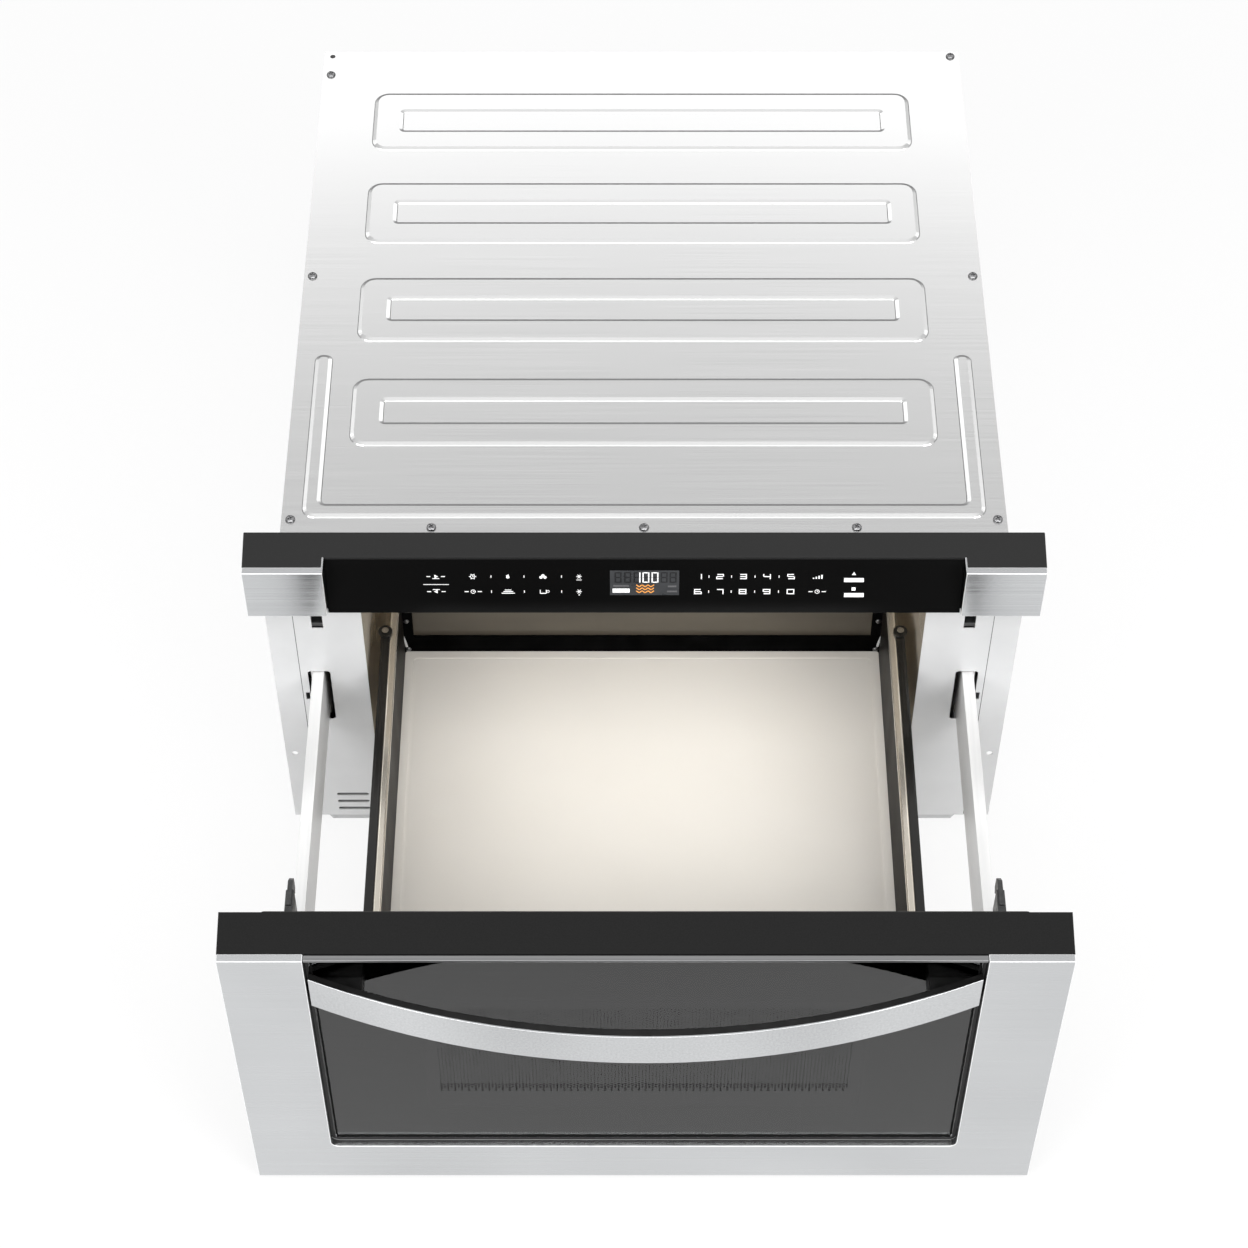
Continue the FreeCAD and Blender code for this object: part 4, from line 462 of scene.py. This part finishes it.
clear_rows = bmesh.new()
dots(clear_rows, [(FIRST_DOT, z) for z in (140.5, 137.3, 134.1, 130.9)], 0.98)
dots(clear_rows, [(BETWEEN_DOTS, z) for z in (138.9, 135.7)], 0.98)
repeated(fired("clear_rows", clear_rows, glass_ink), DOTS_ACROSS, (DOT_STEP * MM, 0, 0))
field = bmesh.new()
dots(field, [(FIRST_DOT, 143.7), (BETWEEN_DOTS, 142.1)], 0.6)
dotted_field = fired("dotted_field", field, field_ink)
repeated(dotted_field, DOTS_ACROSS, (DOT_STEP * MM, 0, 0))
repeated(dotted_field, DOT_ROWS, (0, 0, ROW_STEP * MM))
ink = bmesh.new()
for x, z, wide, tall in ((0, 59.6, 476, 4.4), (-237.6, 188, 1.6, 252), (237.6, 188, 1.6, 252)):
    patch(ink, upright(x, GLASS_FRONT, z), wide, tall)
fired("glass_band", ink, glass_ink)

# The bow handle is a polished stainless bar on black moulded brackets.
handle_steel = finish(
    "polished handle", (0.58, 0.59, 0.60), (0.66, 0.67, 0.68), (600, 3, 600), (0.14, 0.2),
    metallic=1.0, cloud=0.22)
eased("handle_bar", handle_steel, 0.5, 3)
bracket_black = finish("black bracket", grey(0.005), grey(0.009), 120, (0.3, 0.4), gloss=0.2)
eased("handle_backing", bracket_black, 0.4)


# ---------------------------------------------------------------- control panel
# The panel is a moulded charcoal housing closed by leaning black glass. The display shines through
# the glass, the touch marks are printed on it, and a folded stainless cap covers each end.

panel_black = finish("black panel glass", grey(0.004), grey(0.006), 3, (0.04, 0.07), gloss=0.12)
board_green = finish("circuit board", (0.01, 0.07, 0.03), (0.02, 0.13, 0.05), 700, (0.3, 0.4))
panel_charcoal = finish("panel moulding", grey(0.018), grey(0.022), 900, (0.5, 0.6), relief=0.01, gloss=0.15)
cap_steel = finish(
    "brushed end cap", (0.51, 0.52, 0.53), (0.64, 0.65, 0.66), (6, 6, 1800), (0.14, 0.22), metallic=1.0)
eased("control_housing", panel_charcoal, 0.7, 3)
eased("control_glass", panel_black, 0.4)
dressed("control_board", board_green)
dressed("display_module", frame_black)
# The caps' rounded edges carry a painted highlight.
for side in ("left", "right"):
    eased("panel_trim_" + side, cap_steel, 0.6, 3, painted_edge_highlight)

# The print is drawn flat, with up measured from the glass's lower edge, and then laid on the glass.
LEAN = math.atan2(13.1, 51.2)
PRINT = 0.08
on_glass = Matrix((
    (1, 0, 0, 0),
    (0, math.sin(LEAN), -math.cos(LEAN), -313.6 * MM),
    (0, math.cos(LEAN), math.sin(LEAN), 335.3 * MM),
    (0, 0, 0, 1),
))


def flat(x, up, turn):
    """A place in the flat drawing, in millimetres and degrees."""
    return Matrix.Translation((x * MM, up * MM, 0)) @ Matrix.Rotation(math.radians(turn), 4, "Z")


def bar(shape, x, up, width, height, turn=0.0):
    """A flat bar of print about its middle."""
    patch(shape, flat(x, up, turn), width, height)


def spot(shape, x, up, radius, sides=20, turn=0.0):
    """A filled round of print, or with three sides an arrow head."""
    bmesh.ops.create_circle(
        shape, cap_ends=True, segments=sides, radius=radius * MM, matrix=flat(x, up, turn))


def ring(shape, x, up, outer, line):
    """A round outline of print."""
    before = set(shape.faces)
    spot(shape, x, up, outer)
    middle = [face for face in shape.faces if face not in before]
    bmesh.ops.inset_region(shape, faces=middle, thickness=line * MM, use_boundary=True, use_even_offset=True)
    bmesh.ops.delete(shape, geom=middle, context="FACES_KEEP_BOUNDARY")


def printed(name, shape, material, lift=0.0):
    """Give the flat print its thickness and lay it on the leaning glass."""
    bmesh.ops.recalc_face_normals(shape, faces=shape.faces)
    for face in shape.faces:
        if face.normal.z < 0:
            face.normal_flip()
    thickened(shape, -PRINT)
    bmesh.ops.transform(shape, matrix=on_glass @ Matrix.Translation((0, 0, lift * MM)), verts=shape.verts)
    return made(name, shape, material, "cabinet")


def glowing(material, colour, strength):
    """Light the marks from behind, as the real panel does."""
    shader = material.node_tree.nodes["Principled BSDF"]
    shader.inputs["Emission Color"].default_value = (*colour, 1)
    shader.inputs["Emission Strength"].default_value = strength


white_print = finish("white print", grey(0.82), grey(0.88), 400, (0.4, 0.5))
glowing(white_print, (1, 1, 1), 0.35)

# Each touch key has a plain sign. The first two keys move the drawer: out above the line, in below.
UPPER, LOWER = 34.6, 20.4
keys = bmesh.new()
bar(keys, -158, 27.1, 19.5, 0.5)
for up, point, edge in ((UPPER, -90, -1.9), (LOWER, 90, 1.9)):
    spot(keys, -158, up, 1.9, 3, point)
    bar(keys, -158, up + edge, 5.4, 0.6)
    bar(keys, -163.5, up, 3.0, 0.7)
    bar(keys, -152.5, up, 3.0, 0.7)

# Short strokes part the keys.
for x in (-116.1, -91.1, -62.7, 49.1, 66.2, 84.0, 102.2):
    for up in (UPPER, LOWER):
        bar(keys, x, up, 0.6, 2.2)

# Clock faces with two hands: one has rays round it, and the others a dash at either side.
for x, up in ((-130, UPPER), (-130, LOWER), (131.6, LOWER)):
    ring(keys, x, up, 1.9, 0.45)
    bar(keys, x, up + 0.5, 0.4, 1.2)
    bar(keys, x + 0.45, up, 1.1, 0.4)
for x in (-135, -125, 126.6, 136.6):
    bar(keys, x, LOWER, 3.2, 0.7)
for step in range(6):
    ray = math.radians(60 * step)
    bar(keys, -130 + 2.3 * math.cos(ray), UPPER + 2.3 * math.sin(ray), 0.8, 0.6, 60 * step)

# A drop, over a heap of three layers.
spot(keys, -103.4, UPPER - 0.5, 1.3)
spot(keys, -103.4, UPPER + 0.9, 1.4, 3, 90)
for reach, up in ((5.0, 1.5), (7.5, 0), (10, -1.5)):
    bar(keys, -103.4, LOWER + up, reach, 0.7)

# Three rounds, over a cup with its ear.
for x, up in ((-78.2, -0.7), (-75.2, -0.7), (-76.7, 0.9)):
    spot(keys, x, UPPER + up, 1.25)
bar(keys, -76.7, LOWER - 1.6, 4.6, 0.7)
for x in (-79, -74.4):
    bar(keys, x, LOWER, 0.6, 3.4)
ring(keys, -73.1, LOWER + 0.2, 1.2, 0.4)

# Two frost stars, one on a line and one over a point.
for up in (UPPER, LOWER):
    for turn in (0, 60, 120):
        bar(keys, -49.4, up, 4.2, 0.5, turn)
bar(keys, -49.4, UPPER - 3.2, 4.0, 0.5)
spot(keys, -49.4, LOWER - 3.1, 0.5)

# Four rising steps for the power, then an arrow and a square over their two wide touch bars.
for step in range(4):
    bar(keys, 128.4 + 2.1 * step, UPPER - 1.6 + 0.45 * step, 1.1, 1.0 + 0.9 * step)
spot(keys, 158.9, 37.0, 1.9, 3, 0)
bar(keys, 159.2, 22.9, 3.0, 3.0)
bar(keys, 159.1, 31.3, 15, 3.8)
bar(keys, 159.7, 17.1, 15, 3.8)
printed("key_signs", keys, white_print)

# The figures are built of up to seven bars each, numbered from the top down and left before right.
BAR_PLACES = ((0, 1), (-1, 0.5), (1, 0.5), (0, 0), (-1, -0.5), (1, -0.5), (0, -1))
SHOWN = {
    "0": "1110111", "1": "0010010", "2": "1011101", "3": "1011011", "4": "0111010", "5": "1101011",
    "6": "1101111", "7": "1010010", "8": "1111111", "9": "1111011", " ": "0000000"}


def figure(shape, digit, x, up, wide, tall, line, gap=0.0, dark=None):
    """A squarish figure. The bars that it leaves dark go to another shape, if one is given."""
    for (across, rise), shown in zip(BAR_PLACES, SHOWN[digit]):
        if shown == "0" and dark is None:
            continue
        width, height = (wide - 2 * line - gap, line) if across == 0 else (line, tall / 2 - gap)
        centre = up + rise * ((tall - line) / 2 if across == 0 else tall / 2)
        bar(shape if shown == "1" else dark, x + across * (wide - line) / 2, centre, width, height)


NUMBER_KEYS = (40.9, 57.5, 74.9, 93.1, 111.3)
numbers = bmesh.new()
for up, row in ((UPPER, "12345"), (LOWER, "67890")):
    for x, digit in zip(NUMBER_KEYS, row):
        figure(numbers, digit, x, up, 5.8, 4.8, 0.8)
printed("key_numbers", numbers, white_print)

# The display is a grey pane with seven-bar figures, unlit ones showing faintly, over an amber sign.
DISPLAY_FIGURES = ((-19.8, " "), (-12.5, " "), (-5.4, "1"), (1.3, "0"), (8.2, "0"), (15.1, " "), (21.9, " "))
pane_grey = finish("display pane", (0.045, 0.047, 0.050), (0.060, 0.062, 0.066), 60, (0.25, 0.35))
pane = bmesh.new()
bar(pane, 0.3, 28.7, 52.5, 23.2)
printed("display_pane", pane, pane_grey)
lit = bmesh.new()
unlit = bmesh.new()
for x, digit in DISPLAY_FIGURES:
    figure(lit, digit, x, 33.8, 5.2, 9.8, 0.95, 0.3, unlit)
unlit_grey = finish("unlit bars", (0.016, 0.016, 0.017), (0.020, 0.020, 0.021), 60, (0.3, 0.4))
printed("unlit_figures", unlit, unlit_grey, PRINT)
bar(lit, -17.5, 21.4, 13.0, 3.8)
printed("lit_figures", lit, white_print, PRINT)
small = bmesh.new()
for x, up, width in ((-17.5, 25.9, 12), (21.2, 25.4, 6.4), (21.2, 20.6, 7.6)):
    bar(small, x, up, width, 1.5)
small_grey = finish("dim marks", (0.12, 0.12, 0.125), (0.16, 0.16, 0.165), 60, (0.3, 0.4))
printed("dim_marks", small, small_grey, PRINT)
amber = finish("amber sign", (0.75, 0.30, 0.06), (0.85, 0.38, 0.09), 60, (0.3, 0.4))
glowing(amber, (1.0, 0.42, 0.12), 0.3)
heat = bmesh.new()
for up in (25.9, 23.1, 20.3):
    for step in range(6):
        bar(heat, -4.9 + 2.25 * step, up, 2.9, 0.85, 42 if step % 2 else -42)
printed("heat_sign", heat, amber, PRINT)


# ---------------------------------------------------------------- top cover
# The cover is one pressed sheet of brushed steel, stiffened by four raised ribs and a channel, and
# held by nine pan head screws.

cover_steel = finish(
    "brushed cover sheet", grey(0.645), grey(0.685), (5, 1600, 5), (0.17, 0.22), metallic=1.0)
COVER_TOP = 383.5 * MM
HALF_WIDTH, HALF_DEPTH = 277, 276
CREST = 1.6 * MM
# The rolled edge of a pressed form: how far each step leads inwards, and its share of the rise.
ROLL = ((0.65, 0.40), (2.85, 0.60))


def outline(shape, corners, level):
    """A flat face whose corners (x, y, radius in millimetres) are rounded off."""
    verts = [shape.verts.new((x * MM, y * MM, level)) for x, y, radius in corners]
    shape.faces.new(verts)
    for vert, (x, y, radius) in zip(verts, corners):
        bmesh.ops.bevel(
            shape, geom=[vert], offset=radius * MM, offset_type="OFFSET", segments=6,
            profile=0.5, affect="VERTICES", material=-1)


def pressed(shape, corners, level, rise):
    """One pressed form: its rounded edge rolls up or down to a flat. Gives its rim and the flat."""
    before = set(shape.faces)
    outline(shape, corners, level)
    middle = [face for face in shape.faces if face not in before]
    for inward, up in (ROLL if rise > 0 else reversed(ROLL)):
        bmesh.ops.inset_region(
            shape, faces=middle, thickness=inward * MM, depth=up * rise,
            use_boundary=True, use_even_offset=True)
    rolled = [face for face in shape.faces if face not in before]
    rim = list({edge for face in rolled for edge in face.edges if edge.is_boundary})
    return rim, middle[0]


def oblong(middle, half_wide, half_deep, radius):
    """The four rounded corners of an oblong whose middle lies on the line x = 0."""
    return [(x, middle + y, radius) for x, y in (
        (-half_wide, -half_deep), (half_wide, -half_deep), (half_wide, half_deep), (-half_wide, half_deep))]


cover = bmesh.new()
edge_spots = [cover.verts.new((x * MM, y * MM, COVER_TOP))
              for x, y, radius in oblong(0, HALF_WIDTH, HALF_DEPTH, 0)]
sheet_rims = [cover.edges.new((edge_spots[i], edge_spots[i - 1])) for i in range(4)]
SPARE_HOLE = (-270 * MM, 270 * MM)
spare_hole = bmesh.ops.create_circle(
    cover, cap_ends=False, segments=16, radius=2.4 * MM, matrix=Matrix.Translation((*SPARE_HOLE, COVER_TOP)))
sheet_rims += list({edge for vert in spare_hole["verts"] for edge in vert.link_edges})
for rib in range(4):
    rib_middle = -150 + 112 * rib
    rim, crest = pressed(cover, oblong(rib_middle, 230, 36, 12), COVER_TOP, CREST)
    sheet_rims += rim
    crest_rim = list(crest.edges)
    cover.faces.remove(crest)
    sunk_rim, _ = pressed(cover, oblong(rib_middle, 207.5, 14.35, 5), COVER_TOP + CREST, -CREST)
    bmesh.ops.triangle_fill(cover, use_beauty=True, edges=crest_rim + sunk_rim, normal=(0, 0, 1))
CHANNEL = (
    (-262, -259.5, 10), (262, -259.5, 10), (262, -88.4, 6.5), (247.5, -88.4, 6.5),
    (247.5, -245, 4), (-247.5, -245, 4), (-247.5, -88.4, 6.5), (-262, -88.4, 6.5))
rim, _ = pressed(cover, CHANNEL, COVER_TOP, CREST)
sheet_rims += rim
bmesh.ops.triangle_fill(cover, use_beauty=True, edges=sheet_rims, normal=(0, 0, 1))
bmesh.ops.recalc_face_normals(cover, faces=cover.faces)
if sum(face.normal.z for face in cover.faces) < 0:
    bmesh.ops.reverse_faces(cover, faces=cover.faces)
bmesh.ops.solidify(cover, geom=cover.faces[:], thickness=1.0 * MM)
cover_piece = made("pressed_cover", cover, cover_steel, "cabinet")
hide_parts("top_cover")

# One screw hole at the back is spare, with a spring nut in it whose dark colour is painted shade in the hole.
nut = bmesh.new()
bmesh.ops.create_circle(
    nut, cap_ends=True, segments=16, radius=2.3 * MM, matrix=Matrix.Translation((*SPARE_HOLE, 382.9 * MM)))
thickened(nut, 0.3)
made("spring_nut", nut, painted_gap_shade, "cabinet")

# The screws have pan heads with a cross recess. The recess is four arms round a square.
COVER_SCREWS = (
    (-162, -269), (0, -269), (162, -269), (-270, -261), (270, -261),
    (-270, 0), (270, 0), (-270, 246), (270, 270))
HEAD_RADIUS = 4.0
HEAD_TALL = 2.2
ARM_REACH = 2.15
ARM_HALF = 0.42
BETWEEN_ARMS = 1.5
RECESS = 1.1
# The head's side, from the top down: how much wider each step is than the last, and its drop.
HEAD_SIDE = ((1.42, 0.35), (1.22, 0.75), (1.06, 1.1))
screw_steel = finish(
    "plated screw", (0.20, 0.20, 0.205), (0.34, 0.34, 0.345), 200, (0.25, 0.38), metallic=1.0)


def is_arm(face):
    """Tells the five faces of the cross from the rest of the head's top."""
    middle = face.calc_center_median()
    return middle.xy.length < 1.6 and min(abs(middle.x), abs(middle.y)) < 0.2 and middle.z > HEAD_TALL - 0.1


def pan_head(shape, place, size):
    """A pan head with a cross recess, built up round the recess and dropped to its sheet."""
    head = bmesh.new()
    bmesh.ops.create_grid(head, x_segments=3, y_segments=3, size=1)
    for vert in head.verts:
        x, y = vert.co.x, vert.co.y
        if abs(x) > 0.5 and abs(y) > 0.5:
            vert.co = Vector((math.copysign(BETWEEN_ARMS, x), math.copysign(BETWEEN_ARMS, y), HEAD_TALL))
        else:
            across, along = [math.copysign(ARM_REACH if abs(way) > 0.5 else ARM_HALF, way) for way in (x, y)]
            vert.co = Vector((across, along, HEAD_TALL))
    rim = [edge for edge in head.edges if edge.is_boundary]
    for spread, drop in HEAD_SIDE:
        grown = bmesh.ops.extrude_edge_only(head, edges=rim)["geom"]
        rim = [part for part in grown if isinstance(part, bmesh.types.BMEdge) and part.is_boundary]
        for vert in [part for part in grown if isinstance(part, bmesh.types.BMVert)]:
            vert.co = Vector((vert.co.x * spread, vert.co.y * spread, vert.co.z - drop))
    bmesh.ops.holes_fill(head, edges=rim)
    bmesh.ops.recalc_face_normals(head, faces=head.faces)
    arms = [face for face in head.faces if is_arm(face)]
    bmesh.ops.inset_region(
        head, faces=arms, thickness=0.1, depth=-RECESS, use_boundary=True, use_even_offset=True)
    widest = max(vert.co.xy.length for vert in head.verts)
    for vert in head.verts:
        vert.co = Vector((vert.co.x * HEAD_RADIUS / widest, vert.co.y * HEAD_RADIUS / widest, vert.co.z))
    bmesh.ops.transform(head, matrix=place @ Matrix.Scale(size * MM, 4), verts=head.verts)
    done = bpy.data.meshes.new("head")
    head.to_mesh(done)
    head.free()
    shape.from_mesh(done)
    bpy.data.meshes.remove(done)


heads = bmesh.new()
for x, y in COVER_SCREWS:
    driven = Matrix.Rotation(math.radians((x * 7 + y * 3) % 90), 4, "Z")
    pan_head(heads, Matrix.Translation((x * MM, y * MM, COVER_TOP)) @ driven, 1.0)
cover_heads = made("cover_screw_heads", heads, screw_steel, "cabinet", True)
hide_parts("cover_screws")

# Four smaller ones hold the drawer's rear wall.
REAR_SIZE = 0.65
inset = HEAD_RADIUS * REAR_SIZE
lo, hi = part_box("rear_wall_screws")
rear_heads = bmesh.new()
for x in (lo.x + inset * MM, hi.x - inset * MM):
    for z in (lo.z + inset * MM, hi.z - inset * MM):
        facing = Matrix.Rotation(math.radians(90), 4, "X")
        pan_head(rear_heads, Matrix.Translation((x, hi.y, z)) @ facing, REAR_SIZE)
rear_screws = made("rear_wall_heads", rear_heads, screw_steel, "drawer", True)
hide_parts("rear_wall_screws")


# ---------------------------------------------------------------- studio
# A plain pale floor, soft light from all round, a broad lamp above and one at either side, a weak
# light over the tray, and the viewing angle of the photograph.

def outside_sees(nodes, links, strength):
    """Adds up the rays for which the plain background shows."""
    path = nodes.new("ShaderNodeLightPath")
    glossy = nodes.new("ShaderNodeMath")
    glossy.operation = "MAXIMUM"
    links.new(path.outputs["Is Camera Ray"], glossy.inputs[0])
    links.new(path.outputs["Is Glossy Ray"], glossy.inputs[1])
    through = nodes.new("ShaderNodeMath")
    through.operation = "MAXIMUM"
    links.new(glossy.outputs["Value"], through.inputs[0])
    links.new(path.outputs["Is Transmission Ray"], through.inputs[1])
    part = nodes.new("ShaderNodeMath")
    part.operation = "MULTIPLY"
    part.inputs[1].default_value = strength
    links.new(through.outputs["Value"], part.inputs[0])
    return part


floor_shape = bmesh.new()
bmesh.ops.create_grid(floor_shape, x_segments=1, y_segments=1, size=6)
floor_mesh = bpy.data.meshes.new("studio_floor")
floor_shape.to_mesh(floor_mesh)
floor_shape.free()
floor = bpy.data.objects.new("studio_floor", floor_mesh)
bpy.context.scene.collection.objects.link(floor)
paper = bpy.data.materials.new("floor paper")
paper.use_nodes = True
paper_nodes = paper.node_tree.nodes
paper_links = paper.node_tree.links
paper_nodes["Principled BSDF"].inputs["Base Color"].default_value = (0.92, 0.92, 0.92, 1)
paper_nodes["Principled BSDF"].inputs["Roughness"].default_value = 0.9
paper_nodes["Principled BSDF"].inputs["Specular IOR Level"].default_value = 0.0
white = paper_nodes.new("ShaderNodeEmission")
brightened = paper_nodes.new("ShaderNodeMixShader")
paper_links.new(outside_sees(paper_nodes, paper_links, 0.8).outputs["Value"], brightened.inputs["Fac"])
paper_links.new(paper_nodes["Principled BSDF"].outputs["BSDF"], brightened.inputs[1])
paper_links.new(white.outputs["Emission"], brightened.inputs[2])
paper_links.new(brightened.outputs["Shader"], paper_nodes["Material Output"].inputs["Surface"])
floor_mesh.materials.append(paper)

# The room is one even level of light, but metal and glass mirror a sky that changes with height.
ROOM_LIGHT = 0.64
SKY_FOOT, SKY_TOP = 0.25, 1.25
SKY_LEVELS = (
    (0.34, 0.4), (0.5, 0.9), (0.60, 2.3), (0.655, 2.1),
    (0.685, 1.15), (0.71, 0.84), (0.77, 0.72), (0.86, 0.85))
world = bpy.data.worlds.new("studio")
bpy.context.scene.world = world
world.use_nodes = True
sky_nodes = world.node_tree.nodes
sky_links = world.node_tree.links
sky = sky_nodes["Background"]
direction = sky_nodes.new("ShaderNodeTexCoord")
axes = sky_nodes.new("ShaderNodeSeparateXYZ")
sky_links.new(direction.outputs["Generated"], axes.inputs["Vector"])
height = sky_nodes.new("ShaderNodeValToRGB")
stops = height.color_ramp.elements
stops[0].color = (*grey(SKY_FOOT), 1)
stops[1].color = (*grey(SKY_TOP), 1)
for position, level in SKY_LEVELS:
    stop = stops.new(position)
    stop.color = (*grey(level), 1)
sky_links.new(axes.outputs["Z"], height.inputs["Fac"])
reflected = outside_sees(sky_nodes, sky_links, 1.0)
room = sky_nodes.new("ShaderNodeMix")
room.data_type = "RGBA"
room.inputs["A"].default_value = (*grey(ROOM_LIGHT), 1)
sky_links.new(reflected.outputs["Value"], room.inputs["Factor"])
sky_links.new(height.outputs["Color"], room.inputs["B"])
camera_sees = sky_nodes.new("ShaderNodeLightPath")
plain = sky_nodes.new("ShaderNodeMix")
plain.data_type = "RGBA"
plain.inputs["B"].default_value = (1, 1, 1, 1)
sky_links.new(camera_sees.outputs["Is Camera Ray"], plain.inputs["Factor"])
sky_links.new(room.outputs["Result"], plain.inputs["A"])
sky_links.new(plain.outputs["Result"], sky.inputs["Color"])

# Watts, width and height in metres, place, aim, and whether metal and glass mirror the lamp.
for name, power, wide, tall, place, aim, mirrored in (
        ("overhead softbox", 23, 1.8, 1.2, (0.1, -1.25, 2.5), (0, -0.35, 0.1), True),
        ("left softbox", 36, 1.8, 1.6, (-1.8, -2.2, 2.1), (0, -0.3, 0.2), True),
        ("right softbox", 38, 1.8, 1.6, (1.8, -2.2, 2.1), (0, -0.3, 0.2), True),
        ("light over the tray", 0.32, 0.34, 0.04, (0, -0.345, 0.335), (0, -0.27, 0.12), False)):
    softbox = bpy.data.lights.new(name, "AREA")
    softbox.shape = "RECTANGLE"
    softbox.size = wide
    softbox.size_y = tall
    softbox.energy = power
    lamp = bpy.data.objects.new(name, softbox)
    lamp.location = place
    lamp.visible_camera = False
    lamp.visible_glossy = mirrored
    lamp.rotation_euler = (Vector(aim) - Vector(place)).to_track_quat("-Z", "Y").to_euler()
    bpy.context.scene.collection.objects.link(lamp)

lens = bpy.data.cameras.new("studio camera")
lens.lens = 85
lens.sensor_width = 36
camera = bpy.data.objects.new("studio camera", lens)
camera.location = (-15.3 * MM, -1717.1 * MM, 2098.8 * MM)
camera.rotation_euler = (math.radians(38.3), 0, 0)
bpy.context.scene.collection.objects.link(camera)
bpy.context.scene.camera = camera
bpy.context.scene.view_settings.view_transform = "Standard"
